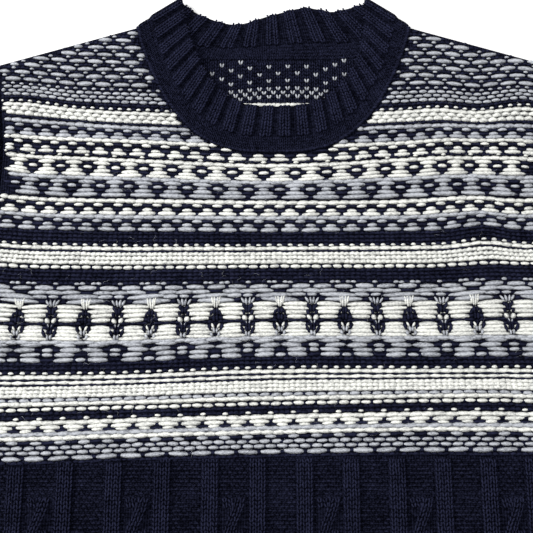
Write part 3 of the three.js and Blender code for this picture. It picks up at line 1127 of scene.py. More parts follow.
class Path:
    """A plan curve through points, read by the share of its length."""

    def __init__(self, marks: Sequence[Point]) -> None:
        """Measure the curve's length at each of its points.

        Args:
            marks: The points, from one end to the other.
        """
        lengths = [0.0]
        for a, b in zip(marks, marks[1:]):
            lengths.append(lengths[-1] + math.dist(a, b))
        self.length = lengths[-1]
        self.across = Curve(list(zip(lengths, (x for x, _ in marks))))
        self.up = Curve(list(zip(lengths, (y for _, y in marks))))

    def at(self, share: float) -> Point:
        """The point at a share of the length."""
        return self.across(share * self.length), self.up(share * self.length)


def neck_path(half: float, top: float, drop: float, shape: NeckShape) -> Path:
    """A neck curve in plan, from its left end to its right."""
    xs = [half * math.sin(i / 24 * math.pi / 2) for i in range(-24, 25)]
    return Path([(x, top - drop * shape.hang(x, half)) for x in xs])


BAND_FACE_SHARES = (0, 0.03, 0.08, 0.14, 0.2, 0.25, 0.29, 0.33, 0.38, 0.45, 0.58, 0.72, 0.86, 0.95)
BAND_BACK_SHARES = (0.95, 0.6, 0.38, 0.26, 0)
BAND_LIP_ANGLES = (0.4, 1.0, 1.57, 2.1, 2.7)
EDGE_NECK = NeckShape(3, 0.8, 0.5)
BACK_EDGE = (
    (77.8, 229),
    (64, 224.5),
    (50, 221.5),
    (27, 225),
    (-3, 217.5),
    (-33, 209.5),
    (-62, 218),
    (-77.8, 229),
)


@dataclass(frozen=True)
class Neckband:
    """The ring of rib round the neck, seamed at its outside and free at its inside."""

    wall: float = 3.0
    edge_half: float = 77.8
    edge_y: float = 229.0
    edge_drop: float = 96.0
    front_ribs: int = 21
    back_ribs: int = 11
    wave: float = 0.8
    strip_end: float = 0.26
    ribbed: float = 0.36
    lip: float = 1.4
    front_seam_z: float = 6.4
    front_edge_z: float = 7.2
    back_seam_z: float = 1.5
    back_edge_z: float = 2.3
    steps: int = 12
    fold_steps: int = 10

    def front_paths(self) -> tuple[Path, Path]:
        """The front layer's seam and free edge.

        Returns:
            The two curves.
        """
        seam = neck_path(CUT.neck_half, CUT.neck_y, CUT.front_drop, FRONT_NECK)
        edge = neck_path(self.edge_half, self.edge_y, self.edge_drop, EDGE_NECK)
        return seam, edge

    def back_paths(self) -> tuple[Path, Path]:
        """The back layer's seam and free edge, from its right end to its left.

        Returns:
            The two curves.
        """
        xs = [CUT.neck_half * math.cos(i / 48 * math.pi) for i in range(49)]
        marks = [(x, CUT.neck_y - CUT.back_drop * BACK_NECK.hang(x, CUT.neck_half)) for x in xs]
        return Path(marks), Path(BACK_EDGE)

    def heights(self, front: bool) -> tuple[float, float]:
        """Heights of one layer's seam and of its free edge."""
        front_heights = (self.front_seam_z, self.front_edge_z)
        return front_heights if front else (self.back_seam_z, self.back_edge_z)

    def swell(self, turns: float) -> float:
        """Rib or groove at a place in rib pitches: 1 on a crest, -1 in a groove."""
        away = abs(turns - round(turns))
        return 1 - 2 * smoothstep(away, 0.27, 0.44)

    def section(self, seam: tuple, edge: tuple, outward: tuple, wave: float) -> list[tuple]:
        """One cut through the band, from the seam round the free edge and back.

        Args:
            seam: The seam's point, with its height.
            edge: The free edge's point, with its height.
            outward: Direction out of the band's face.
            wave: How far this cut stands out on a rib or in a groove.

        Returns:
            Points with their share of the way across the band.
        """
        reach = math.dist(seam[:2], edge[:2])
        start = tuple(lerp(a, b, 0.5 / reach) for a, b in zip(seam, edge))
        along = tuple((b - a) / reach for a, b in zip(seam[:2], edge[:2]))

        def at(share: float, rise: float, past: float = 0.0) -> tuple:
            """A point of this cut.

            Args:
                share: Share of the way across the band.
                rise: Distance out of the band's middle.
                past: Distance past the free edge.

            Returns:
                The point, with its share.
            """
            x = lerp(start[0], edge[0], share) + along[0] * past + outward[0] * rise
            y = lerp(start[1], edge[1], share) + along[1] * past + outward[1] * rise
            settle = smoothstep(share, self.strip_end - 0.02, self.strip_end + 0.04)
            z = lerp(seam[2], edge[2], settle) + outward[2] * rise
            return x, y, z, share

        half = self.wall / 2
        face = []
        for share in BAND_FACE_SHARES:
            ribbed = smoothstep(share, self.strip_end, self.ribbed)
            seam_dip = -0.5 * (1 - smoothstep(share, 0, 0.05))
            foot_dip = 0.25 * smoothstep(share, 0.22, 0.26) * (1 - ribbed)
            crown = seam_dip - foot_dip
            face.append(at(share, half + wave * ribbed + crown - 0.25))
        turn = []
        for angle in BAND_LIP_ANGLES:
            turn.append(at(1, (half - 0.2) * math.cos(angle) + wave, self.lip * math.sin(angle)))
        back = []
        for share in BAND_BACK_SHARES:
            back.append(at(share, wave * smoothstep(share, 0.26, 0.36) - half))
        return face + turn + back

    def cloth(self) -> Cloth:
        """The whole ring of the band.

        Returns:
            The closed wall.
        """
        cuts = []
        for layer in (True, False):
            cuts += self.layer(layer)
            cuts += self.turned(1 if layer else -1, layer)
        cloth = Cloth()
        rows = []
        length = 0.0
        for number, cut in enumerate(cuts):
            if number:
                length += math.dist(cut[8][:3], cuts[number - 1][8][:3])
            rows.append([cloth.add(x, y, z, length, share * 40) for x, y, z, share in cut])
        cloth.skin([*rows, rows[0]], True)
        return cloth

    def layer(self, front: bool) -> list[list[tuple]]:
        """Cuts along the front or the back layer.

        Args:
            front: True for the front layer.

        Returns:
            The cuts, in order round the neck.
        """
        seam, edge = self.front_paths() if front else self.back_paths()
        ribs = self.front_ribs if front else self.back_ribs
        up = 1.0 if front else -1.0
        heights = self.heights(front)
        cuts = []
        for i in range(1, ribs * self.steps):
            share = i / (ribs * self.steps)
            wave = self.wave * self.swell(share * ribs)
            ends = ((*seam.at(share), heights[0]), (*edge.at(share), heights[1]))
            cuts.append(self.section(*ends, (0.0, 0.0, up), wave))
        return cuts

    def turned(self, side: int, from_front: bool) -> list[list[tuple]]:
        """Cuts round the fold at one side of the neck.

        Args:
            side: 1 for the side at +x, -1 for the other.
            from_front: Whether the cuts run from the front layer to the back.

        Returns:
            The cuts.
        """
        seam, edge = (side * CUT.neck_half, CUT.neck_y), (side * self.edge_half, self.edge_y)
        reach = math.dist(seam, edge)
        along = ((edge[0] - seam[0]) / reach, (edge[1] - seam[1]) / reach)
        away = (side * along[1], -side * along[0])
        cuts = []
        for i in range(self.fold_steps + 1):
            share = i / self.fold_steps if from_front else 1 - i / self.fold_steps
            turn = share * math.pi
            outward = (away[0] * math.sin(turn), away[1] * math.sin(turn), math.cos(turn))
            ends = []
            levels = ((self.front_seam_z, self.back_seam_z), (self.front_edge_z, self.back_edge_z))
            for (x, y), (front, back) in zip((seam, edge), levels):
                radius = (front - back) / 2
                point = (x + outward[0] * radius, y + outward[1] * radius)
                ends.append((*point, (front + back) / 2 + outward[2] * radius))
            cuts.append(self.section(*ends, outward, self.wave))
        return cuts


BAND = Neckband()
FIBRE_WAVES, PLY_WAVES, DRIFT_WAVES = 1500.0, 560.0, 45.0  # in a metre


@dataclass(frozen=True)
class Wool:
    """A soft wool yarn, as linear colours in its shade and its light.

    middle is where an even stitch lies between the two. relief is painted light and
    shade: how much lighter a stitch's crest is painted than its foot, and fibre, ply and
    drift are the contrasts of the finest fibres, of the plies and of the whole cloth. A
    knitted wool takes its painted crest light from the cloth's wales and rows, where the
    other takes it from each stitch.
    """

    name: str
    shade: tuple[float, float, float]
    light: tuple[float, float, float]
    middle: float
    relief: float
    fibre: float
    ply: float
    drift: float = 0.3
    tinted: float = 0.8
    sheen: float = 0.05
    gloss: float = 0.1
    knitted: bool = False
    wale: float = 2.0
    row: float = 2.7
    even_tint: float = 0.275
    # share of the painted crest light that an even stitch gets
    even_crest_light: float = 0.6
    roughness: float = 0.95
    sheen_roughness: float = 0.6
    bump: float = 0.8
    bump_depth: float = 0.0009

    def base(self) -> float:
        """What the other parts are added to, so that an even stitch comes to the middle."""
        noises = (self.fibre + self.ply + self.drift) / 2
        return self.middle - noises - self.tinted * self.even_tint - self.relief * self.even_crest_light

    def noise(
        self, tree: bpy.types.NodeTree, scale: float, detail: float, drawn: float
    ) -> bpy.types.NodeSocket:
        """Make a noise that is drawn out across the knitting.

        Args:
            tree: The material's nodes.
            scale: Waves in a metre.
            detail: Octaves.
            drawn: Its scale along x, as a share of the others.

        Returns:
            The noise's value.
        """
        spot = tree.nodes.new("ShaderNodeTexCoord")
        mapping = tree.nodes.new("ShaderNodeMapping")
        mapping.inputs["Scale"].default_value = (drawn, 1.0, 1.0)
        made = tree.nodes.new("ShaderNodeTexNoise")
        made.inputs["Scale"].default_value = scale
        made.inputs["Detail"].default_value = detail
        made.inputs["Roughness"].default_value = 0.6
        tree.links.new(spot.outputs["Object"], mapping.inputs["Vector"])
        tree.links.new(mapping.outputs["Vector"], made.inputs["Vector"])
        return made.outputs["Fac"]

    def kept(self, tree: bpy.types.NodeTree, name: str) -> bpy.types.NodeSocket:
        """A value kept on the mesh.

        Args:
            tree: The material's nodes.
            name: The value's name.

        Returns:
            The value's socket.
        """
        made = tree.nodes.new("ShaderNodeAttribute")
        made.attribute_name = name
        return made.outputs["Fac"]

    def added(
        self,
        tree: bpy.types.NodeTree,
        value: bpy.types.NodeSocket,
        weight: float,
        total: bpy.types.NodeSocket | float,
    ) -> bpy.types.NodeSocket:
        """Add a weighted value to a total.

        Args:
            tree: The material's nodes.
            value: The value.
            weight: Its weight.
            total: What it is added to.

        Returns:
            The new total.
        """
        made = tree.nodes.new("ShaderNodeMath")
        made.operation = "MULTIPLY_ADD"
        made.inputs[1].default_value = weight
        tree.links.new(value, made.inputs[0])
        if isinstance(total, float):
            made.inputs[2].default_value = total
        else:
            tree.links.new(total, made.inputs[2])
        return made.outputs[0]

    def crest(self, tree: bpy.types.NodeTree) -> bpy.types.NodeSocket:
        """How near the crest of a stitch each point lies, from 0 to 1: the mask of the painted crest light
        and foot shade.

        Args:
            tree: The material's nodes.

        Returns:
            The value's socket.
        """
        if not self.knitted:
            return self.kept(tree, "crest")
        # painted light on the cloth's wale and row crests, painted shade between them
        total: bpy.types.NodeSocket | float = 0.5
        for name, pitch, weight in (("wale", self.wale, 0.3), ("level", self.row, 0.2)):
            turned = self.added(tree, self.kept(tree, name), math.tau / pitch, 0.0)
            wave = tree.nodes.new("ShaderNodeMath")
            wave.operation = "SINE"
            tree.links.new(turned, wave.inputs[0])
            total = self.added(tree, wave.outputs[0], weight, total)
        return total

    def material(self) -> bpy.types.Material:
        """Build the yarn's material: fibres, ply, painted crest light and foot shade, and a tint for each
        stitch.

        Returns:
            The material.
        """
        made = bpy.data.materials.new(self.name)
        made.use_nodes = True
        tree = made.node_tree
        shader = tree.nodes["Principled BSDF"]
        fibres = self.noise(tree, FIBRE_WAVES, 3.0, 0.35)
        plies = self.noise(tree, PLY_WAVES, 2.0, 0.6)
        crest = self.crest(tree)
        # painted light and shade: the crest is painted lighter, the foot and the ends darker
        total = self.added(tree, crest, self.relief, self.base())
        total = self.added(tree, self.kept(tree, "tint"), self.tinted, total)
        total = self.added(tree, fibres, self.fibre, total)
        total = self.added(tree, plies, self.ply, total)
        total = self.added(tree, self.noise(tree, DRIFT_WAVES, 2.0, 1.0), self.drift, total)
        colour = tree.nodes.new("ShaderNodeMix")
        colour.data_type = "RGBA"
        colour.inputs["A"].default_value = (*self.shade, 1)
        colour.inputs["B"].default_value = (*self.light, 1)
        tree.links.new(total, colour.inputs["Factor"])
        tree.links.new(colour.outputs["Result"], shader.inputs["Base Color"])
        rough = self.added(tree, plies, 0.8, fibres)
        if self.knitted:
            rough = self.added(tree, crest, 1.6, rough)
        bump = tree.nodes.new("ShaderNodeBump")
        bump.inputs["Strength"].default_value = self.bump
        bump.inputs["Distance"].default_value = self.bump_depth
        tree.links.new(rough, bump.inputs["Height"])
        tree.links.new(bump.outputs["Normal"], shader.inputs["Normal"])
        shader.inputs["Roughness"].default_value = self.roughness
        shader.inputs["Specular IOR Level"].default_value = self.gloss
        shader.inputs["Sheen Weight"].default_value = self.sheen
        shader.inputs["Sheen Roughness"].default_value = self.sheen_roughness
        return made


NAVY_SHADE, NAVY_LIGHT = (0.0010, 0.0012, 0.0036), (0.026, 0.029, 0.064)
NAVY_WOOL = Wool(
    "navy_wool", NAVY_SHADE, NAVY_LIGHT, 0.32, 0.45, 1.1, 1.1, tinted=0.5, sheen=0.0, gloss=0.03
)
# navy wool painted darker than the stitches' navy: painted shade in the grooves between the stitches, with
# painted light on its wale and row crests
NAVY_CLOTH_GROOVE_SHADE = Wool(
    "navy_cloth",
    NAVY_SHADE,
    NAVY_LIGHT,
    0.16,
    0.3,
    0.9,
    0.9,
    tinted=0.0,
    sheen=0.0,
    gloss=0.03,
    knitted=True,
    even_crest_light=0.5,
)
WHITE_WOOL = Wool("white_wool", (0.25, 0.255, 0.26), (0.86, 0.865, 0.81), 0.68, 0.62, 2.2, 1.2)
GREY_WOOL = Wool("grey_wool", (0.09, 0.097, 0.12), (0.51, 0.53, 0.57), 0.64, 0.62, 2.2, 1.2)


class StitchTree:
    """Geometry Nodes that set a stitch on each point of a mesh."""

    def __init__(self) -> None:
        """Build the tree, with its inputs for the stitch, its crown and its finish."""
        tree = bpy.data.node_groups.new("knitting", "GeometryNodeTree")
        tree.is_modifier = True
        self.tree = tree
        face = tree.interface
        face.new_socket("Points", in_out="INPUT", socket_type="NodeSocketGeometry")
        face.new_socket("Stitch", in_out="INPUT", socket_type="NodeSocketObject")
        face.new_socket("Crown", in_out="INPUT", socket_type="NodeSocketFloat")
        face.new_socket("Finish", in_out="INPUT", socket_type="NodeSocketMaterial")
        face.new_socket("Stitches", in_out="OUTPUT", socket_type="NodeSocketGeometry")
        start = tree.nodes.new("NodeGroupInput")
        end = tree.nodes.new("NodeGroupOutput")
        shape = tree.nodes.new("GeometryNodeObjectInfo")
        size = self.attribute("size")
        turn = self.attribute("turn")
        crown = tree.nodes.new("ShaderNodeCombineXYZ")
        crown.inputs["X"].default_value = 1.0
        crown.inputs["Y"].default_value = 1.0
        scale = tree.nodes.new("ShaderNodeVectorMath")
        scale.operation = "MULTIPLY"
        rotation = tree.nodes.new("FunctionNodeEulerToRotation")
        instances = tree.nodes.new("GeometryNodeInstanceOnPoints")
        realize = tree.nodes.new("GeometryNodeRealizeInstances")
        smooth = tree.nodes.new("GeometryNodeSetShadeSmooth")
        finish = tree.nodes.new("GeometryNodeSetMaterial")
        for source, target in (
            (start.outputs["Points"], instances.inputs["Points"]),
            (start.outputs["Stitch"], shape.inputs["Object"]),
            (shape.outputs["Geometry"], instances.inputs["Instance"]),
            (start.outputs["Crown"], crown.inputs["Z"]),
            (size.outputs["Attribute"], scale.inputs[0]),
            (crown.outputs["Vector"], scale.inputs[1]),
            (scale.outputs["Vector"], instances.inputs["Scale"]),
            (turn.outputs["Attribute"], rotation.inputs["Euler"]),
            (rotation.outputs["Rotation"], instances.inputs["Rotation"]),
            (instances.outputs["Instances"], realize.inputs["Geometry"]),
            (realize.outputs["Geometry"], smooth.inputs["Geometry"]),
            (smooth.outputs["Geometry"], finish.inputs["Geometry"]),
            (start.outputs["Finish"], finish.inputs["Material"]),
            (finish.outputs["Geometry"], end.inputs["Stitches"]),
        ):
            tree.links.new(source, target)

    def attribute(self, name: str) -> bpy.types.Node:
        """A node that reads a vector kept on each point.

        Args:
            name: The vector's name.

        Returns:
            The node.
        """
        node = self.tree.nodes.new("GeometryNodeInputNamedAttribute")
        node.data_type = "FLOAT_VECTOR"
        node.inputs["Name"].default_value = name
        return node

    def apply(
        self, points: bpy.types.Object, stitch: bpy.types.Object, finish: bpy.types.Material
    ) -> None:
        """Knit the stitches on an object's points, and keep them as its plain mesh.

        Args:
            points: The object whose mesh holds the points.
            stitch: One stitch of unit size.
            finish: The yarn's material.
        """
        modifier = points.modifiers.new("knitting", "NODES")
        modifier.node_group = self.tree
        inputs = {"Stitch": stitch, "Crown": 1.0, "Finish": finish}
        for item in self.tree.interface.items_tree:
            if item.in_out == "INPUT" and item.name in inputs:
                modifier[item.identifier] = inputs[item.name]
        graph = bpy.context.evaluated_depsgraph_get()
        knitted = bpy.data.meshes.new_from_object(points.evaluated_get(graph))
        points.modifiers.clear()
        old, points.data = points.data, knitted
        knitted.name = points.name
        bpy.data.meshes.remove(old)


@dataclass(frozen=True)
class Ring:
    """One cut through a strand of yarn: its middle, half width and half height."""

    x: float
    y: float
    z: float
    wide: float
    high: float


STRAND_SIDES = 4
STRAND_FOOT = -0.2  # how high a strand's ends lie


class StitchForms:
    """Unit shapes of the stitches, hidden once they have been used."""

    def __init__(self) -> None:
        """Build one object for each form."""
        self.made = {form: self.build(form) for form in Form}

    def strands(self, form: Form) -> list[tuple[Point, list[Ring], Point]]:
        """Each strand of a form: its first end, its rings and its last end.

        Args:
            form: The form.

        Returns:
            The strands.
        """
        if form is Form.FLOAT:
            rings = [
                Ring(-0.36, 0, 0.2, 0.32, 0.38),
                Ring(-0.13, 0, 0.47, 0.5, 0.5),
                Ring(0.13, 0, 0.47, 0.5, 0.5),
                Ring(0.36, 0, 0.2, 0.32, 0.38),
            ]
            return [((-0.5, 0.0), rings, (0.5, 0.0))]
        if form is Form.PURL:
            rings = [
                Ring(-0.3, -0.02, 0.3, 0.36, 0.36),
                Ring(0.0, 0.14, 0.5, 0.42, 0.5),
                Ring(0.3, -0.02, 0.3, 0.36, 0.36),
            ]
            return [((-0.52, -0.3), rings, (0.52, -0.3))]
        if form is Form.FIBRE:
            rings = [Ring(-0.2, 0.28, 0.2, 0.014, 0.012), Ring(0.2, -0.1, 0.24, 0.014, 0.012)]
            return [((-0.5, -0.2), rings, (0.5, 0.25))]
        legs = []
        for side in (-1, 1):
            rings = [
                Ring(side * 0.17, -0.28, 0.42, 0.17, 0.42),
                Ring(side * 0.31, 0.22, 0.5, 0.19, 0.5),
            ]
            legs.append(((side * 0.05, -0.66), rings, (side * 0.36, 0.66)))
        return legs

    def build(self, form: Form) -> bpy.types.Object:
        """Make one form's mesh: closed strands of four sides.

        Args:
            form: The form to make.

        Returns:
            The new object, in no collection.
        """
        points: list[tuple[float, float, float]] = []
        faces: list[tuple[int, ...]] = []
        crests: list[float] = []
        sides = STRAND_SIDES
        for first, rings, last in self.strands(form):
            base = len(points)
            path = [first, *((ring.x, ring.y) for ring in rings), last]
            points.append((*first, STRAND_FOOT))
            crests.append(0.0)
            for number, ring in enumerate(rings, start=1):
                (ax, ay), (bx, by) = path[number - 1], path[number + 1]
                dx, dy = bx - ax, by - ay
                reach = math.hypot(dx, dy)
                for i in range(sides):
                    turn = i / sides * math.tau
                    out, up = ring.wide * math.cos(turn), ring.high * math.sin(turn)
                    points.append((ring.x - dy / reach * out, ring.y + dx / reach * out, ring.z + up))
                    # painted light and shade: each ring's top is painted lighter and its underside darker,
                    # low rings near the ends darker still, and the ends take full painted shade
                    crests.append((0.45 + 0.55 * math.sin(turn)) * lerp(0.55, 1.0, clamp(2 * ring.z)))
            points.append((*last, STRAND_FOOT))
            crests.append(0.0)
            end = len(points) - 1
            for i in range(sides):
                j = (i + 1) % sides
                faces.append((base, base + 1 + j, base + 1 + i))
                faces.append((end, end - sides + i, end - sides + j))
                for step in range(len(rings) - 1):
                    a = base + 1 + step * sides
                    faces.append((a + i, a + j, a + sides + j, a + sides + i))
        mesh = bpy.data.meshes.new(f"{form.value}_form")
        mesh.from_pydata(points, [], faces)
        # keep the painted crest light and shade on each point
        mesh.attributes.new("crest", "FLOAT", "POINT").data.foreach_set("value", crests)
        if self.volume(mesh) < 0:
            mesh.flip_normals()
        return bpy.data.objects.new(f"{form.value}_form", mesh)

    def volume(self, mesh: bpy.types.Mesh) -> float:
        """Signed volume of a mesh, to tell whether it is inside out.

        Args:
            mesh: The mesh.

        Returns:
            Six times the volume, below 0 where it is inside out.
        """
        total = 0.0
        for face in mesh.polygons:
            corners = [mesh.vertices[i].co for i in face.vertices]
            for b, c in zip(corners[1:], corners[2:]):
                total += corners[0].dot(b.cross(c))
        return total

    def clear(self) -> None:
        """Remove the unit shapes."""
        for made in self.made.values():
            mesh = made.data
            bpy.data.objects.remove(made)
            bpy.data.meshes.remove(mesh)


SPOT_JITTER = (0.22, 0.22, 0.08)  # how far a stitch may stray along x, y and z
TURN_JITTER = 0.06
WIDTHS, CROWNS, TINTS = (0.88, 1.14), (0.85, 1.15), (0.05, 0.45)  # ranges of the stitches
SLOPE_STEP = 1.2  # how far each way a surface's slope is read
STEEPEST = 1.2


@dataclass
class Stitches:
    """Stitches of one form and yarn that lie on one piece."""

    name: str
    form: Form
    yarn: Yarn
    seed: int = 7
    spots: list[tuple[float, float, float]] = field(default_factory=list)
    turns: list[tuple[float, float, float]] = field(default_factory=list)
    sizes: list[tuple[float, float, float]] = field(default_factory=list)
    tints: list[float] = field(default_factory=list)
    chance: random.Random = field(init=False)

    def __post_init__(self) -> None:
        """Seed the small differences between the stitches."""
        self.chance = random.Random(f"{self.name}{self.seed}")

    def lay(
        self,
        surface: Height,
        at: Point,
        turn: float,
        size: tuple[float, float, float],
        tint: float = 0.0,
        lift: float = 0.0,
    ) -> None:
        """Lay one stitch on a surface.

        Args:
            surface: Height of the cloth over the plan.
            at: The stitch's middle, in plan.
            turn: Direction of its length in plan, in radians.
            size: Its length, width and crown.
            tint: How much lighter it is than its fellows.
            lift: How far it stands over the surface.
        """
        x, y = at
        step = SLOPE_STEP
        cos, sin = math.cos(turn), math.sin(turn)
        along = surface(x + step * cos, y + step * sin) - surface(x - step * cos, y - step * sin)
        across = surface(x - step * sin, y + step * cos) - surface(x + step * sin, y - step * cos)
        pitch = clamp(along / 2 / step, -STEEPEST, STEEPEST)
        roll = clamp(across / 2 / step, -STEEPEST, STEEPEST)
        self.seat((x, y, surface(x, y) + lift), (math.atan(roll), -math.atan(pitch), turn), size, tint)

    def seat(
        self,
        at: tuple[float, float, float],
        turns: tuple[float, float, float],
        size: tuple[float, float, float],
        tint: float = 0.0,
    ) -> None:
        """Set one stitch at a point, with its turns about x, y and z.

        Args:
            at: Its middle.
            turns: Its turns about x, y and z, in radians.
            size: Its length, width and crown.
            tint: How much lighter it is than its fellows.
        """
        jitter = self.chance.uniform
        x, y, z = (value + jitter(-away, away) for value, away in zip(at, SPOT_JITTER))
        self.spots.append(place(x, y, z))
        self.turns.append((turns[0], turns[1], turns[2] + jitter(-TURN_JITTER, TURN_JITTER)))
        length, width, crown = size
        width *= jitter(*WIDTHS)
        crown *= jitter(*CROWNS)
        self.sizes.append((length * MM, width * MM, crown * MM))
        self.tints.append(clamp(tint + jitter(*TINTS)))

    def knit(self, tree: StitchTree, forms: StitchForms, wool: bpy.types.Material) -> bpy.types.Object:
        """Turn the laid stitches into one piece.

        Args:
            tree: The knitting nodes.
            forms: The unit stitches.
            wool: The yarn's material.

        Returns:
            The piece, a plain mesh.
        """
        mesh = bpy.data.meshes.new(f"{self.name}_points")
        mesh.from_pydata(self.spots, [], [])
        for key, rows in (("turn", self.turns), ("size", self.sizes)):
            flat = [value for row in rows for value in row]
            mesh.attributes.new(key, "FLOAT_VECTOR", "POINT").data.foreach_set("vector", flat)
        mesh.attributes.new("tint", "FLOAT", "POINT").data.foreach_set("value", self.tints)
        made = bpy.data.objects.new(self.name, mesh)
        bpy.context.scene.collection.objects.link(made)
        tree.apply(made, forms.made[self.form], wool)
        for key in ("turn", "size"):
            if key in made.data.attributes:
                made.data.attributes.remove(made.data.attributes[key])
        LOG.info("%s: %d stitches, %d faces", self.name, len(self.spots), len(made.data.polygons))
        return made


@dataclass(frozen=True)
class Row:
    """One row of the chart: its level, one repeat of its letters and its light yarn.

    Letters: o w g are floats in the row's yarn, white and grey, and a full stop is
    a navy one. p and n are purl bumps in the row's yarn and navy, d is the small
    head of a light loop in navy, b a broad dome, l a float of a line without gaps, k
    a thin navy one between two light rows, and v is left bare for the columns of
    raised stitches.
    """

    level: float
    letters: str
    anchor: int = 0
    yarn: Yarn = Yarn.WHITE

    def letter(self, column: int) -> str:
        """The letter at a column."""
        return self.letters[(column - self.anchor) % len(self.letters)]


ZIG, DIAMOND, STAR, FOOT = 1, -2, 1, -1
WHITE, GREY = Yarn.WHITE, Yarn.GREY


def brick_rows(foot: float, count: int, pitch: float) -> list[Row]:
    """The grey floats at the shoulders, laid like bricks, from the lowest up.

    Args:
        foot: Level of the lowest row.
        count: How many rows of floats.
        pitch: Distance from one to the next.

    Returns:
        The rows of floats, with rows of small heads between them.
    """
    rows = []
    for i in range(count):
        rows.append(Row(foot + i * pitch, "ooo.", 2 * (i % 2), GREY))
        rows.append(Row(foot + (i + 0.5) * pitch, "nnnd", 2 * (i % 2), GREY))
    return rows


def chart() -> list[Row]:
    """The yoke's rows, from the shoulders down to the navy ribs.

    Returns:
        The rows.
    """
    return [
        *brick_rows(148.8, 10, 6.65),
        Row(144.4, ".d", 0, GREY),
        Row(140.8, "o.", 0, GREY),
        Row(137.2, "o.", 1, GREY),
        Row(133.7, "o.", 0, GREY),
        Row(130.5, "n"),
        Row(127.4, "nd"),
        Row(124.0, "l"),
        Row(120.2, "bv"),
        Row(117.0, "bv", 1, WHITE),
        Row(114.5, "n"),
        Row(111.6, "l", 0, GREY),
        Row(108.4, "o...", ZIG - 2, GREY),
        Row(105.0, "o...", ZIG, GREY),
        Row(101.9, "ooo.", ZIG - 1, GREY),
        Row(98.9, "l"),
        Row(95.4, "o...", ZIG - 2, WHITE),
        Row(91.0, "o...", ZIG, WHITE),
        Row(87.8, "ooo.", ZIG - 1, WHITE),
        Row(85.5, "dnnnnn", DIAMOND, WHITE),
        Row(82.4, "l"),
        Row(79.5, "ooo...", DIAMOND + 2, WHITE),
        Row(76.5, "o..o..", DIAMOND, WHITE),
        Row(73.6, "ooo...", DIAMOND + 2, WHITE),
        Row(71.0, "ooooo.", DIAMOND + 1, WHITE),
        Row(68.5, "l", 0, GREY),
        Row(65.8, "ooo...", DIAMOND - 1, GREY),
        Row(62.8, "o..o..", DIAMOND, GREY),
        Row(59.6, "ooo...", DIAMOND - 1, GREY),
        Row(56.5, "ooooo.", DIAMOND - 2, GREY),
        Row(51.8, "l"),
        Row(48.8, "o...", ZIG, WHITE),
        Row(45.2, "o...", ZIG + 2, WHITE),
        Row(42.2, "ooo.", ZIG + 1, WHITE),
        Row(39.3, "l", 0, GREY),
        Row(36.4, "o...", ZIG, GREY),
        Row(33.0, "o...", ZIG + 2, GREY),
        Row(29.7, "ooo.", ZIG + 1, GREY),
        Row(26.5, "n"),
        Row(23.4, "n"),
        Row(20.4, "n"),
        Row(17.3, "nd"),
        Row(14.4, "l"),
        Row(12.3, "k"),
        Row(9.9, "p"),
        Row(6.7, "p"),
        Row(3.5, "p"),
        Row(0.1, "o."),
        Row(-3.2, "n"),
        Row(-6.2, "n"),
        Row(-9.2, "n"),
        Row(-12.2, "nddnnndnnndd", STAR, GREY),
        Row(-15.6, "gg.ggg.ggg.g", STAR),
        Row(-19.0, "..gggoooggg.", STAR, GREY),
        Row(-22.3, "ggggg.g.gggg", STAR),
        Row(-25.8, "gggg.vvv.ggg", STAR),
        Row(-29.7, "vwwwwwvwwwww", STAR),
        Row(-32.9, "vwwwwwvwwwww", STAR),
        Row(-36.1, "vwwwwwvwwwww", STAR),
        Row(-39.4, "v.www.v.www.", STAR),
        Row(-42.4, "vnnnnnvnnnnn", STAR),
        Row(-45.2, "v.www.v.www.", STAR),
        Row(-47.8, "vwwwwwvwwwww", STAR),
        Row(-50.4, "vwwwwwvwwwww", STAR),
        Row(-53.2, "vwwwwwvwwwww", STAR),
        Row(-55.7, "l", 0, GREY),
        Row(-57.6, "vvgggvvvgggv", STAR),
        Row(-61.3, "vggg..g..ggg", STAR),
        Row(-64.9, "..ggg.g.ggg.", STAR),
        Row(-68.5, "g.ggg...ggg.", STAR),
        Row(-71.8, "n"),
        Row(-75.0, "n"),
        Row(-78.2, "nd"),
        Row(-81.5, "l"),
        Row(-83.4, "k"),
        Row(-85.3, "l"),
        Row(-87.3, "k"),
        Row(-89.8, "p"),
        Row(-92.6, "p"),
        Row(-95.4, "p"),
        Row(-98.5, "o.", 0, GREY),
        Row(-101.2, "l"),
        Row(-105.2, "o."),
        Row(-108.5, "n"),
        Row(-111.8, "dnnn", FOOT, WHITE),
        Row(-115.1, "l"),
        Row(-118.2, "ooo.", FOOT + 1, WHITE),
        Row(-120.7, "...o", FOOT - 1, WHITE),
        Row(-123.2, "l", 0, GREY),
        Row(-126.0, "l"),
        Row(-129.2, "o...", FOOT, GREY),
        Row(-132.8, "o.", FOOT + 1, GREY),
        Row(-136.3, "o.", FOOT, GREY),
        Row(-140.2, "ooo.", FOOT - 1, GREY),
        Row(-143.6, "n"),
    ]


@dataclass(frozen=True)
class InsideRow:
    """One row of the back's inside: its level, its light yarn and where that shows."""

    level: float
    repeat: int = 0
    shift: int = 0
    yarn: Yarn = Yarn.GREY
    apex: float = 19.0
    fall: float = 6.0

    def sag(self, x: float) -> float:
        """How far the row falls below its level at x."""
        reach = 66.0 if x < self.apex else 36.0
        return self.fall * min(((x - self.apex) / reach) ** 2, 2.5)

    def yarn_at(self, column: int) -> Yarn:
        """The yarn of a stitch."""
        shown = self.repeat and (column + self.shift) % self.repeat == 0
        return self.yarn if shown else Yarn.NAVY

    @property
    def straight(self) -> bool:
        """Whether it runs straight, as the rows behind the white sliver do."""
        return self.fall == 0.0


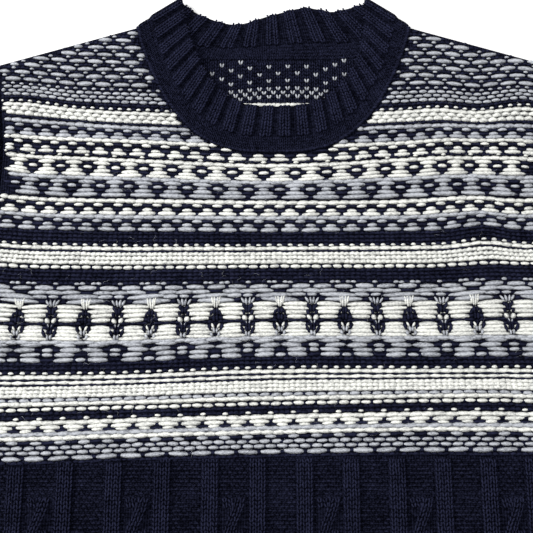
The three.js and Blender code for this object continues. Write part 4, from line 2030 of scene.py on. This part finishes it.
INSIDE_WALE = 3.93
INSIDE_COLUMNS = range(-24, 25)
INSIDE_HALF = 92.0
SLIVER_MIDDLE, SLIVER_HALF = -6.0, 34.0
INSIDE_ROWS = (
    InsideRow(190.4),
    InsideRow(187.3),
    InsideRow(184.3, 4),
    InsideRow(181.2),
    InsideRow(178.1, 4, 2),
    InsideRow(175.0),
    InsideRow(171.9, 4),
    InsideRow(168.7),
    InsideRow(165.5, 4, 2),
    InsideRow(162.4),
    InsideRow(159.3, 4),
    InsideRow(155.7),
    InsideRow(152.3, 2),
    InsideRow(148.7, 2, 1),
    InsideRow(145.2, 2),
    InsideRow(141.9),
    InsideRow(139.4),
    InsideRow(137.0, fall=0.0),
    InsideRow(135.2, fall=0.0),
)


@dataclass(frozen=True)
class Leg:
    """One of a mirrored pair of raised stitches beside a column of the star band."""

    yarn: Yarn
    out: float
    level: float
    lean: float
    length: float
    width: float


STAR_LEGS = {
    0: (
        Leg(WHITE, 1.0, -27.2, 4, 10.5, 1.9),
        Leg(WHITE, 2.7, -26.4, 13, 8.5, 1.7),
        Leg(Yarn.NAVY, 1.2, -34.5, 0, 6.0, 2.6),
        Leg(Yarn.NAVY, 3.4, -35.6, -28, 6.0, 2.4),
        Leg(Yarn.NAVY, 1.2, -39.5, 0, 6.0, 2.6),
        Leg(Yarn.NAVY, 4.6, -46.8, 24, 6.8, 2.5),
        Leg(WHITE, 2.2, -45.6, 26, 4.6, 1.8),
        Leg(GREY, 1.1, -48.8, 8, 5.0, 2.0),
        Leg(GREY, 3.0, -51.8, 14, 5.0, 2.2),
    ),
    6: (
        Leg(GREY, 3.9, -26.6, 34, 6.0, 1.9),
        Leg(GREY, 1.2, -27.0, 10, 6.4, 1.9),
        Leg(Yarn.NAVY, 2.8, -31.0, 22, 6.0, 2.8),
        Leg(Yarn.NAVY, 1.2, -33.0, 6, 7.5, 2.8),
        Leg(Yarn.NAVY, 3.2, -35.8, 16, 5.4, 2.6),
        Leg(WHITE, 2.6, -40.0, 42, 5.2, 3.4),
        Leg(Yarn.NAVY, 1.6, -44.2, 24, 6.2, 2.6),
        Leg(GREY, 1.2, -43.6, 18, 4.0, 1.2),
        Leg(Yarn.NAVY, 4.2, -49.0, 24, 8.4, 2.8),
        Leg(Yarn.NAVY, 1.2, -48.0, 6, 5.0, 2.4),
        Leg(GREY, 1.1, -52.0, 6, 4.6, 1.9),
    ),
}


STAR_COLUMNS, STAR_REPEAT = range(-67, 68), 12
LEG_CROWN, LEG_LIFT = 1.9, 0.3


class Columns:
    """Where the chart's columns stand across the chest, by level."""

    middle = Curve(((-143, 4.3), (-80, 4.21), (13, 4.1), (54, 4.15), (75, 4.22), (94, 4.4), (160, 4.3)))
    side = Curve(((-143, 4.15), (-80, 4.05), (13, 3.95), (54, 3.8), (75, 3.65), (94, 3.6), (160, 3.7)))
    spread = Curve(((-143, 0.34), (-78, 0.27), (-40, 0.24), (-12, 0.19), (8, 0.02), (40, 0.0), (160, 0.0)))
    reach = 20.0
    soft = 2.0
    shifts = (0.35, 0.1)  # how far the chart stands aside, below and above these levels
    shift_levels = (-115.0, -26.0)

    def across(self, column: float, level: float) -> float:
        """The x of a column, whole or not, at a level.

        Args:
            column: The chart's column.
            level: The row's level.

        Returns:
            The x.
        """
        near, far = self.middle(level), self.side(level)
        at = column + lerp(*self.shifts, smoothstep(level, *self.shift_levels))
        past = self.soft * math.log1p(math.exp((abs(at) - self.reach) / self.soft))
        even = far * at + (near - far) * self.reach * math.tanh(at / self.reach)
        return even + math.copysign(self.spread(level) * past, at)


class Wave:
    """How the chart's rows rise and fall across the chest."""

    places = (-222.0, -200.0, -165.0, -120.0, 0.0, 104.0, 136.0, 166.0, 187.0, 206.0, 222.0)
    rows = (
        (-143.0, (-5.8, -5.8, -5.2, -3.2, 0.0, 1.5, 1.3, 1.2, 1.4, 1.5, 1.5)),
        (-110.0, (-5.6, -5.3, -4.4, -3.2, 0.0, 2.0, 2.4, 2.5, 1.9, 1.4, 1.0)),
        (-74.0, (-4.6, -4.6, -4.5, -4.0, 0.0, 0.0, 0.2, 0.4, 0.4, 0.2, -0.4)),
        (-6.0, (1.5, -0.4, -1.0, -1.4, 0.0, 0.2, 0.9, 2.5, 2.4, 1.9, 1.5)),
        (23.0, (3.6, 1.9, 0.9, 0.0, 0.0, 0.6, 1.5, 5.4, 2.0, 1.4, 1.4)),
        (54.0, (6.2, 3.9, 2.4, 1.6, 0.0, 1.0, 3.2, 4.1, 0.9, 2.3, 2.8)),
        (83.0, (11.0, 8.3, 6.9, 4.9, 0.0, 5.1, 6.9, 7.1, 6.3, 5.3, 4.8)),
        (99.0, (9.5, 8.2, 6.5, 4.7, 0.0, 3.2, 5.8, 6.0, 5.1, 4.3, 4.1)),
        (113.0, (11.5, 9.7, 6.8, 3.6, 0.0, 4.4, 6.0, 4.8, 5.0, 4.9, 4.1)),
        (127.0, (11.5, 11.4, 6.4, 3.8, 0.0, 4.4, 6.6, 4.2, 6.4, 7.6, 5.0)),
        (150.0, (10.0, 8.4, 5.5, 4.0, 0.0, 5.7, 5.7, 3.7, 5.2, 5.8, 2.3)),
        (160.0, (10.0, 8.4, 5.5, 4.0, 0.0, 5.7, 5.7, 3.7, 5.2, 5.8, 2.3)),
    )

    def __init__(self) -> None:
        """Make one curve over the levels for each place across."""
        self.curves = []
        for i in range(len(self.places)):
            self.curves.append(Curve([(level, row[i]) for level, row in self.rows]))

    def rise(self, x: float, level: float) -> float:
        """How far a row stands over its level at x."""
        heights = [curve(level) for curve in self.curves]
        return Curve(list(zip(self.places, heights)))(x)


@dataclass(frozen=True)
class Lie:
    """How one kind of stitch lies: its extra length, width, crown and lift."""

    extra: float
    width: float
    crown: float
    lift: float = 0.0


FLOAT_LIE = Lie(2.35, 3.85, 1.7, 0.1)
LINE_LIE = Lie(2.3, 3.7, 1.4, 0.1)
NAVY_LIE = Lie(1.7, 3.1, 1.1, -0.15)
DOT_LIE = Lie(1.2, 2.1, 1.2, 0.1)
DOME_LIE = Lie(2.1, 5.2, 1.7, 0.1)
NAVY_LINE_LIE = Lie(2.3, 1.7, 1.2, 0.45)
PURL_LIE = Lie(1.25, 3.4, 1.2, 0.0)
WHITE_PURL_LIE = Lie(1.6, 4.4, 1.8, 0.0)
LIES = {
    "l": LINE_LIE,
    "k": NAVY_LINE_LIE,
    ".": NAVY_LIE,
    "d": DOT_LIE,
    "b": DOME_LIE,
    "p": WHITE_PURL_LIE,
    "n": PURL_LIE,
}
SHORT_FLOATS = {1: 0.74, 2: 0.88, 3: 0.96}
LONGEST_RUN = 7
EDGE_TRIES, EDGE_SHRINK = 4, 0.8  # how a float is shortened until it keeps off an edge

# Length, width and crown of each stitch that the chart doesn't size.
DOT_BUMP = (4.4, 2.9, 0.9)
RIB_STITCH = (4.3, 3.7, 1.6)
GROUND_BUMP = (4.0, 2.5, 1.0)
CABLE_STITCH = (4.1, 4.0, 1.5)
INSIDE_NAVY = (4.1, 3.6, 1.1)
INSIDE_LIGHT = (4.1, 3.6, 1.35)
SLIVER_FLOAT = (8.5, 3.4, 2.0)
LIP_FLOAT = (5.8, 3.0, 2.4)
STRIP_STITCH = (3.2, 3.2, 1.3)
HEM_STITCH = (4.4, 4.0, 1.4)
CUFF_STITCH = (3.9, 4.0, 1.3)
SLEEVE_STITCH = (4.3, 4.2, 1.5)
SLEEVE_BUMP = (4.7, 3.3, 1.1)

RIB_ROW, CABLE_ROW, HEM_ROW, SLEEVE_ROW = 2.95, 3.2, 3.3, 3.6  # from one row to the next
RIB_WALE = 3.9
HEM_ROWS = 17
HEM_WALES = (-0.14, 0.14)  # the two stitches on a hem or cuff rib, in rib pitches


class Yoke:
    """The stitches of the stranded pattern on one part of the jumper."""

    def __init__(
        self,
        name: str,
        surface: Height,
        spot: Callable[[float, float], Point],
        within: Callable[[float, float], bool],
        columns: range,
    ) -> None:
        """Say where the pattern lies.

        Args:
            name: The part's name, which the pieces of stitches take.
            surface: Height of the cloth over the plan.
            spot: Plan point of a column and a level.
            within: Whether a plan point is on the cloth.
            columns: The columns that the pattern covers.
        """
        self.surface, self.spot, self.within, self.columns = surface, spot, within, columns
        self.layers = {}
        for yarn in Yarn:
            for form in (Form.FLOAT, Form.PURL):
                made = Stitches(f"{name}_{yarn.value}_{form.value}", form, yarn)
                self.layers[yarn, form] = made

    def yarn(self, row: Row, letter: str) -> Yarn:
        """The yarn that a letter stands for."""
        fixed = {"w": WHITE, "g": GREY, ".": Yarn.NAVY, "n": Yarn.NAVY, "k": Yarn.NAVY}
        return fixed.get(letter, row.yarn)

    def lay_rows(self, rows: Iterable[Row]) -> None:
        """Lay every stitch of the rows.

        Args:
            rows: The chart's rows.
        """
        for number, row in enumerate(rows):
            runs: list[tuple[str, int, int]] = []
            for column in self.columns:
                letter = row.letter(column)
                joined = letter in "owg." and runs and runs[-1][0] == letter
                if joined and column - runs[-1][1] < LONGEST_RUN:
                    runs[-1] = (letter, runs[-1][1], column)
                elif letter in "lk":
                    if (column + number) % 2 == 0:
                        runs.append((letter, column, column + 1))
                else:
                    runs.append((letter, column, column))
            for letter, first, last in runs:
                self.lay_run(row, letter, first, last)

    def lay_run(self, row: Row, letter: str, first: int, last: int) -> None:
        """Lay the stitch that covers a run of columns with one letter.

        Args:
            row: The row.
            letter: Its letter.
            first: The run's first column.
            last: Its last column.
        """
        if letter == "v":
            return
        lie = LIES.get(letter, FLOAT_LIE)
        form = Form.PURL if letter in "pnb" else Form.FLOAT
        half = (last - first + lie.extra) / 2
        middle = (first + last) / 2
        ends = [self.spot(middle - half, row.level), self.spot(middle + half, row.level)]
        for _ in range(EDGE_TRIES):
            if all(self.within(*end) for end in ends):
                break
            half *= EDGE_SHRINK
            ends = [self.spot(middle - half, row.level), self.spot(middle + half, row.level)]
        else:
            return
        (ax, ay), (bx, by) = ends
        at = ((ax + bx) / 2, (ay + by) / 2)
        turn = math.atan2(by - ay, bx - ax)
        slim = SHORT_FLOATS.get(last - first + 1, 1.0) if letter in "owg" else 1.0
        size = (math.dist(*ends), lie.width * slim, lie.crown)
        self.layers[self.yarn(row, letter), form].lay(self.surface, at, turn, size, lift=lie.lift)
        if letter == "d":
            under = self.layers[Yarn.NAVY, Form.PURL]
            under.lay(self.surface, at, turn, DOT_BUMP, lift=-0.3)


@dataclass(frozen=True)
class Fuzz:
    """How the loose fibres of the yoke's wool are scattered."""

    count: int = 900
    seed: int = 11
    half: float = 225.0
    top: float = 190.0
    lengths: tuple[float, float] = (4, 9)
    widths: tuple[float, float] = (2, 5)
    crowns: tuple[float, float] = (4, 6)
    scatter: float = 0.9
    tint: float = 0.1
    side_room: float = 6.0
    neck_room: float = 5.0
    lift: float = 1.1


@dataclass(frozen=True)
class BandKnit:
    """How the neckband's stitches lie.

    wale is a share of a rib's pitch. Places across the band are shares of the way
    from its seam, and the rest are millimetres.
    """

    wale: float = 0.16
    foot: float = 0.35
    plain: float = 0.33
    row: float = 2.7
    least_rows: int = 4
    wide: float = 5.2
    narrow: float = 4.3
    length: float = 3.4
    crown: float = 1.5
    # painted light: how much lighter the stitches on the band's raised ribs are painted
    tint: float = 0.35
    sunk: float = 0.45
    droop: float = -0.5
    strip_pitch: float = 3.1
    strip_rows: int = 5
    strip_start: float = 0.03
    strip_row: float = 0.062
    strip_sunk: float = 0.4
    lip_out: float = -0.012
    lip_sunk: float = 0.5


FUZZ = Fuzz()
BAND_KNIT = BandKnit()
FLOOR_CORNERS = ((-1, -1), (1, -1), (1, 1), (-1, 1))


@dataclass(frozen=True)
class Studio:
    """The plain pale floor, the soft lights and the camera at the photo's angle.

    Its sizes are metres, and the tilt is degrees from straight down.
    """

    floor_reach: float = 6.0
    floor_level: float = -0.0004
    pale: float = 0.93
    sky: float = 0.62
    eye: tuple[float, float, float] = (-0.0059, -0.0292, 0.573)
    tilt: float = 12.0

    def floor(self) -> bpy.types.Object:
        """Lay the floor that the jumper rests on.

        Returns:
            The floor's object.
        """
        mesh = bpy.data.meshes.new("floor")
        corners = [(x * self.floor_reach, y * self.floor_reach) for x, y in FLOOR_CORNERS]
        mesh.from_pydata([(*corner, self.floor_level) for corner in corners], [], [(0, 1, 2, 3)])
        pale = bpy.data.materials.new("pale_floor")
        pale.use_nodes = True
        shader = pale.node_tree.nodes["Principled BSDF"]
        shader.inputs["Base Color"].default_value = (self.pale, self.pale, self.pale, 1)
        shader.inputs["Roughness"].default_value = 0.9
        mesh.materials.append(pale)
        made = bpy.data.objects.new("floor", mesh)
        bpy.context.scene.collection.objects.link(made)
        return made

    def lamp(self, name: str, at: tuple, power: float, size: float) -> None:
        """Hang a soft square light that looks at the jumper's middle.

        Args:
            name: The light's name.
            at: Its place, in metres.
            power: Its power, in watts.
            size: Its side, in metres.
        """
        light = bpy.data.lights.new(name, "AREA")
        light.energy, light.size = power, size
        made = bpy.data.objects.new(name, light)
        made.location = at
        aim = made.location.copy()
        made.rotation_euler = aim.to_track_quat("Z", "Y").to_euler()
        bpy.context.scene.collection.objects.link(made)

    def light(self) -> None:
        """Light the scene softly from above, a little stronger from the upper left."""
        world = bpy.data.worlds.new("studio")
        world.use_nodes = True
        sky = world.node_tree.nodes["Background"]
        sky.inputs["Color"].default_value = (1, 1, 1, 1)
        sky.inputs["Strength"].default_value = self.sky
        bpy.context.scene.world = world
        bpy.context.scene.view_settings.view_transform = "Standard"
        bpy.context.scene.view_settings.look = "None"
        self.lamp("key", (-1.5, 0.8, 1.15), 40.0, 0.6)
        self.lamp("top", (0.2, 0.1, 2.2), 18.0, 2.0)

    def camera(self) -> None:
        """Set the camera where the photo was taken from, above the chest."""
        lens = bpy.data.cameras.new("camera")
        lens.lens, lens.sensor_width = 50.0, 36.0
        lens.clip_start = 0.01
        made = bpy.data.objects.new("camera", lens)
        made.location = self.eye
        made.rotation_euler = (math.radians(self.tilt), 0, 0)
        bpy.context.scene.collection.objects.link(made)
        bpy.context.scene.camera = made


class Jumper:
    """The whole jumper: its walls of cloth and the stitches that lie on them."""

    def __init__(self) -> None:
        """Build the finishes that the pieces share."""
        self.cloth = NAVY_CLOTH_GROOVE_SHADE.material()
        self.wools = {
            Yarn.NAVY: NAVY_WOOL.material(),
            Yarn.WHITE: WHITE_WOOL.material(),
            Yarn.GREY: GREY_WOOL.material(),
        }
        self.tree = StitchTree()
        self.forms = StitchForms()

    def knit(self, stitches: Stitches, slot: str) -> bpy.types.Object | None:
        """Make one piece of stitches and seat it on the jumper.

        Args:
            stitches: The laid stitches.
            slot: Not used.

        Returns:
            The piece, or None where no stitch was laid.
        """
        if not stitches.spots:
            return None
        made = stitches.knit(self.tree, self.forms, self.wools[stitches.yarn])
        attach(made, BODY)
        return made

    def front_yoke(self) -> list[bpy.types.Object]:
        """Lay the pattern on the front.

        Returns:
            The pieces of stitches.
        """
        columns, wave = Columns(), Wave()

        def spot(column: float, level: float) -> Point:
            """Where a column crosses a row."""
            x = columns.across(column, level)
            return x, level + wave.rise(x, level)

        def within(x: float, y: float) -> bool:
            """Whether a point is on the front's yoke.

            Args:
                x: Place across the garment.
                y: Place up the garment.

            Returns:
                Whether it is.
            """
            if abs(x) > SIDE_HALF(y) - 0.8 or y < CUT.yoke_foot - 6:
                return False
            return y < CUT.top(FRONT_NECK, CUT.front_drop, x) - 1.4

        yoke = Yoke("front", CUT.front_over, spot, within, range(-70, 71))
        yoke.lay_rows(chart())
        return self.finished(yoke.layers.values(), "patterned_knit")

    def layer(self, name: str, form: Form, yarn: Yarn = Yarn.NAVY) -> Stitches:
        """Start a layer of stitches."""
        return Stitches(name, form, yarn)

    def finished(self, layers: Iterable[Stitches], slot: str) -> list[bpy.types.Object]:
        """Knit the layers that hold stitches."""
        made = [self.knit(layer, slot) for layer in layers]
        return [piece for piece in made if piece]

    def front_ground(self) -> list[bpy.types.Object]:
        """Lay the ribs' knit stitches and the purl ground below the yoke.

        Returns:
            The pieces of stitches.
        """
        knit = self.layer("front_rib_knit", Form.VEE)
        purl = self.layer("front_ground_purl", Form.PURL)
        wave, foot = Wave(), CUT.rib.foot

        def free(x: float, y: float) -> bool:
            """Whether a point is clear of the pattern's last row and of the cables.

            Args:
                x: Place across the garment.
                y: Place up the garment.

            Returns:
                Whether it is.
            """
            if y > CUT.yoke_foot + min(0.0, wave.rise(x, CUT.yoke_foot)) - 0.8:
                return False
            if y > CUT.cable_top - 6:
                return True
            return all(abs(x - CUT.cable_middle(k)) > CUT.cable_half - 1 for k in CUT.cable_panels)

        for i in range(int((CUT.yoke_foot - CUT.hem_seam) / RIB_ROW)):
            y = CUT.yoke_foot - 1.5 - (i + 0.5) * RIB_ROW
            reach = SIDE_HALF(y) - 2.5
            for k in CUT.ribs:
                middle = CUT.rib_middle(k)
                for step in (-RIB_WALE, 0, RIB_WALE):
                    if abs(middle + step) < reach and free(middle + step, y):
                        # tint 0.25: the raised rib stitches are painted lighter than the ground, as
                        # painted light
                        knit.lay(CUT.front_over, (middle + step, y), 0.0, RIB_STITCH, 0.25)
            edges = [-reach - foot, *(CUT.rib_middle(k) for k in CUT.ribs), reach + foot]
            for left, right in zip(edges, edges[1:]):
                room = right - left - 2 * foot
                bumps = round(room / 3.7)
                for j in range(bumps):
                    x = left + foot + (j + 0.5 + 0.25 * (-1) ** i) * room / bumps
                    if abs(x) < reach and free(x, y):
                        # tint -0.2: the sunken ground's bumps are painted darker than the ribs, as painted
                        # shade
                        purl.lay(CUT.front_over, (x, y), 0.0, GROUND_BUMP, -0.2)
        layers = (knit, purl, self.cable_stitches(), *self.stray_fibres())
        return self.finished(layers, "patterned_knit")

    def cable_stitches(self) -> Stitches:
        """Lay the knit stitches of the cables, the upper strand alone where they cross.

        Returns:
            The layer.
        """
        knit = self.layer("front_cable_knit", Form.VEE)
        for k in CUT.cable_panels:
            for i in range(int((CUT.cable_top - CUT.hem_seam - 6) / CABLE_ROW)):
                y = CUT.cable_top - 5 - i * CABLE_ROW
                phase = (CUT.cable_top - y) / CUT.cable_turn * math.pi
                apart = CUT.cable_strand * math.cos(phase)
                for side in (-1, 1):
                    if abs(apart) < 3.2 and side * math.sin(phase) < 0:
                        continue
                    lean = math.atan(side * CUT.cable_strand * math.sin(phase) * math.pi / CUT.cable_turn)
                    for wale in (-2.0, 2.0):
                        x = CUT.cable_middle(k) + side * apart + wale
                        # tint 0.2: the raised cable stitches are painted lighter than the ground, as
                        # painted light
                        knit.lay(CUT.front_over, (x, y), -lean, CABLE_STITCH, 0.2)
        return knit

    def stray_fibres(self) -> list[Stitches]:
        """Lay the loose fibres that stand out of the yoke's wool, grey ones and navy ones.

        Returns:
            The layers, one for each yarn.
        """
        layers = [self.layer(f"front_fuzz_{yarn.value}", Form.FIBRE, yarn) for yarn in (GREY, Yarn.NAVY)]
        chance = random.Random(FUZZ.seed)
        for number in range(FUZZ.count):
            x, y = chance.uniform(-FUZZ.half, FUZZ.half), chance.uniform(CUT.yoke_foot, FUZZ.top)
            length, width = chance.uniform(*FUZZ.lengths), chance.uniform(*FUZZ.widths)
            size = (length, width, chance.uniform(*FUZZ.crowns))
            turn = chance.gauss(0, FUZZ.scatter)
            clear = abs(x) < SIDE_HALF(y) - FUZZ.side_room
            if clear and y < CUT.top(FRONT_NECK, CUT.front_drop, x) - FUZZ.neck_room:
                layers[number % len(layers)].lay(CUT.front_over, (x, y), turn, size, FUZZ.tint, FUZZ.lift)
        return layers

    def star_columns(self) -> list[bpy.types.Object]:
        """Lay the raised upright stitches in the star band's columns.

        Returns:
            The pieces of stitches.
        """
        columns, wave = Columns(), Wave()
        layers = {yarn: self.layer(f"front_star_{yarn.value}", Form.FLOAT, yarn) for yarn in Yarn}
        for column in STAR_COLUMNS:
            for leg in STAR_LEGS.get((column - STAR) % STAR_REPEAT, ()):
                for side in (-1, 1):
                    x = columns.across(column, leg.level) + side * leg.out
                    y = leg.level + wave.rise(x, leg.level)
                    if abs(x) < SIDE_HALF(y) - 6:
                        turn = math.radians(90 - side * leg.lean)
                        size = (leg.length, leg.width, LEG_CROWN)
                        layers[leg.yarn].lay(CUT.front_over, (x, y), turn, size, lift=LEG_LIFT)
        return self.finished(layers.values(), "patterned_knit")

    def inside_back(self) -> list[bpy.types.Object]:
        """Lay the knit side of the pattern on the inside of the back, seen in the neck.

        Returns:
            The pieces of stitches.
        """
        layers = {yarn: self.layer(f"back_inside_{yarn.value}", Form.VEE, yarn) for yarn in Yarn}
        foot = self.layer("back_inside_foot", Form.FLOAT, WHITE)
        for row in INSIDE_ROWS:
            for column in INSIDE_COLUMNS:
                x = (column - 1) * INSIDE_WALE
                y = row.level - row.sag(x)
                if y > CUT.top(BACK_NECK, CUT.back_drop, x) - 1.5 or abs(x) > INSIDE_HALF:
                    continue
                yarn = row.yarn_at(column)
                size = INSIDE_NAVY if yarn is Yarn.NAVY else INSIDE_LIGHT
                layers[yarn].lay(CUT.back_over, (x, y), 0.0, size)
                if row.straight and abs(x - SLIVER_MIDDLE) < SLIVER_HALF:
                    foot.lay(CUT.back_over, (x, y), 0.0, SLIVER_FLOAT)
        return self.finished((*layers.values(), foot), "patterned_knit")

    def band_stitches(self) -> list[bpy.types.Object]:
        """Lay the neckband's knit stitches on its ribs and its sewn strip.

        Returns:
            The pieces of stitches.
        """
        knit = self.layer("neckband_rib_knit", Form.VEE)
        strip = self.layer("neckband_strip_knit", Form.VEE)
        lip = self.layer("neckband_lip", Form.FLOAT)
        for front in (True, False):
            self.band_ribs(knit, front)
            self.band_strip(strip, lip, front)
        return self.finished((knit, strip, lip), "navy_rib")

    def band_ribs(self, knit: Stitches, front: bool) -> None:
        """Lay the knit stitches on one layer's ribs, out to its free edge.

        Args:
            knit: The stitches that these are added to.
            front: True for the front layer.
        """
        seam, edge = BAND.front_paths() if front else BAND.back_paths()
        ribs = BAND.front_ribs if front else BAND.back_ribs
        crests = list(range(ribs + 1)) if front else [k + 0.5 for k in range(ribs)]
        for crest in crests:
            for wale in (-BAND_KNIT.wale, BAND_KNIT.wale):
                share = (crest + wale) / ribs
                if not 0 < share < 1:
                    continue
                a, b = seam.at(share), edge.at(share)
                turn = math.atan2(b[1] - a[1], b[0] - a[0]) - math.pi / 2
                room = math.dist(a, b) * (1 - BAND_KNIT.plain)
                rows = max(BAND_KNIT.least_rows, round(room / BAND_KNIT.row))
                for i in range(rows + 1):
                    u = lerp(BAND_KNIT.foot, 1.0, i / rows)
                    at = (lerp(a[0], b[0], u), lerp(a[1], b[1], u))
                    droop = BAND_KNIT.droop if i == rows else 0.0
                    crest_z = BAND.heights(front)[1] + BAND.wall / 2 + BAND.wave
                    z = crest_z - BAND_KNIT.sunk + droop
                    size = (lerp(BAND_KNIT.wide, BAND_KNIT.narrow, u), BAND_KNIT.length, BAND_KNIT.crown)
                    # painted light: the rib stitches are tinted lighter than the darker cloth in the
                    # grooves
                    knit.seat((*at, z), (droop, 0.0, turn), size, BAND_KNIT.tint)

    def band_strip(self, strip: Stitches, lip: Stitches, front: bool) -> None:
        """Lay the stitches of one layer's sewn strip, and the front's row along its seam.

        Args:
            strip: The strip's stitches.
            lip: The stitches of the row along the seam.
            front: True for the front layer.
        """
        seam, edge = BAND.front_paths() if front else BAND.back_paths()
        crown = BAND.heights(front)[0] + BAND.wall / 2
        count = round(seam.length / BAND_KNIT.strip_pitch)
        for j in range(count):
            share = (j + 0.5) / count
            a, b = seam.at(share), edge.at(share)
            turn = math.atan2(b[1] - a[1], b[0] - a[0]) - math.pi / 2
            if front:
                out = BAND_KNIT.lip_out
                at = (lerp(a[0], b[0], out), lerp(a[1], b[1], out))
                lip.seat((*at, crown - BAND_KNIT.lip_sunk), (0, 0, turn), LIP_FLOAT)
            for i in range(BAND_KNIT.strip_rows):
                u = BAND_KNIT.strip_start + i * BAND_KNIT.strip_row
                at = (lerp(a[0], b[0], u), lerp(a[1], b[1], u))
                strip.seat((*at, crown - BAND_KNIT.strip_sunk), (0, 0, turn), STRIP_STITCH)

    def hem_stitches(self) -> list[bpy.types.Object]:
        """Lay the knit stitches on the front hem's ribs.

        Returns:
            The pieces of stitches.
        """
        knit = self.layer("hem_rib_knit", Form.VEE)
        for i in range(HEM_ROWS):
            y = CUT.hem_seam - 3.5 - i * HEM_ROW
            half = SIDE_HALF(y)
            for k in range(HEM.count):
                for step in HEM_WALES:
                    x = ((k + 0.5 + step) / HEM.count * 2 - 1) * half
                    knit.lay(HEM.over, (x, y), 0.0, HEM_STITCH)
        return self.finished((knit,), "navy_rib")

    def sleeve_stitches(self, side: int) -> tuple[list[bpy.types.Object], list[bpy.types.Object]]:
        """Lay one sleeve's pattern, its ribs and ground, and its cuff's ribs.

        Args:
            side: 1 for the sleeve at +x, -1 for the other.

        Returns:
            The sleeve's pieces of stitches, and the cuff's.
        """
        name = "right" if side > 0 else "left"

        def surface(x: float, y: float) -> float:
            """Height of the sleeve's ground."""
            return SLEEVE.surface(side * x, y)

        def spot(column: float, level: float) -> Point:
            """Where a column of the sleeve crosses a row.

            Args:
                column: The column, counted from the chart's middle.
                level: The row's height on the front panel.

            Returns:
                The crossing's x and y.
            """
            across = SLEEVE.chart_middle + side * column * SLEEVE.wale
            x, y = SLEEVE.point(CUT.yoke_foot + SLEEVE.pattern - level, across)
            return side * x, y

        def within(x: float, y: float) -> bool:
            """Whether a point is on the sleeve."""
            return SLEEVE.within(side * x, y)

        yoke = Yoke(f"sleeve_{name}", surface, spot, within, range(-34, 35))
        yoke.lay_rows(chart())
        knit = self.layer(f"sleeve_{name}_rib_knit", Form.VEE)
        purl = self.layer(f"sleeve_{name}_ground_purl", Form.PURL)
        turn = side * SLEEVE.turn
        for i in range(int((SLEEVE.seam - SLEEVE.pattern) / SLEEVE_ROW)):
            down = SLEEVE.pattern + 1.5 + (i + 0.5) * SLEEVE_ROW
            width = SLEEVE.width_at(down)
            middles = [(k + 0.5) / SLEEVE.ribs * width for k in range(SLEEVE.ribs)]
            for middle in middles:
                for step in (-RIB_WALE, 0.0, RIB_WALE):
                    x, y = SLEEVE.point(down, middle + step)
                    knit.lay(surface, (side * x, y), turn, SLEEVE_STITCH)
            edges = [-4.0, *middles, width + 4.0]
            for left, right in zip(edges, edges[1:]):
                room = right - left - 2 * CUT.rib.foot
                bumps = max(1, round(room / 4.4))
                for j in range(bumps):
                    across = left + CUT.rib.foot + (j + 0.5 + 0.25 * (-1) ** i) * room / bumps
                    if 2.5 < across < width - 2.5:
                        x, y = SLEEVE.point(down, across)
                        purl.lay(surface, (side * x, y), turn, SLEEVE_BUMP)
        cuff = self.layer(f"cuff_{name}_rib_knit", Form.VEE)
        for i in range(HEM_ROWS):
            down = SLEEVE.seam + 3.2 + i * HEM_ROW
            width = CUFF.width_at(down)
            for k in range(CUFF.count):
                for step in HEM_WALES:
                    share = (k + 0.5 + step) / CUFF.count
                    x, y = SLEEVE.point(down, CUFF.start(down) + share * width)
                    z = CUFF.surface(down, share)
                    cuff.seat((side * x, y, z), (0.0, 0.0, turn), CUFF_STITCH)
        layers = [*yoke.layers.values(), knit, purl]
        return self.finished(layers, "patterned_knit"), self.finished((cuff,), "navy_rib")

    def dress(
        self,
        cloth: Cloth,
        node: str,
        with_pieces: Sequence[bpy.types.Object] = (),
    ) -> None:
        """Make one piece of cloth in place of its node.

        Args:
            cloth: The wall.
            node: The node that it stands for.
            with_pieces: The stitches on it, which are not used.
        """
        made = cloth.build(f"{node}_cloth", self.cloth)
        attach(made, BODY)
        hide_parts(node)
        list(with_pieces)
        LOG.info("%s: %d faces", made.name, len(made.data.polygons))

    def walls(self) -> None:
        """Make every wall of cloth, with the stitches on it."""
        panels = BodyPanels()
        face = [*self.front_yoke(), *self.front_ground(), *self.star_columns()]
        self.dress(panels.front(), "front", face)
        self.dress(panels.back(), "back", self.inside_back())
        self.dress(BAND.cloth(), "neckband", self.band_stitches())
        self.dress(HEM.wall(True), "hem_rib_front", self.hem_stitches())
        self.dress(HEM.wall(False), "hem_rib_back")
        sleeve, cuff = SLEEVE.wall(), CUFF.wall()
        for side, name, tube, trim in (
            (1, "right", sleeve, cuff),
            (-1, "left", sleeve.mirrored(), cuff.mirrored()),
        ):
            sleeve_face, cuff_face = self.sleeve_stitches(side)
            self.dress(tube, f"sleeve_{name}", sleeve_face)
            self.dress(trim, f"cuff_{name}", cuff_face)


def main() -> None:
    """Build the studio and the jumper."""
    logging.basicConfig(level=logging.INFO, format="%(name)s: %(message)s")
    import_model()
    studio = Studio()
    studio.camera()
    studio.floor()
    studio.light()
    jumper = Jumper()
    jumper.walls()
    jumper.forms.clear()


if __name__ == "__main__":
    main()
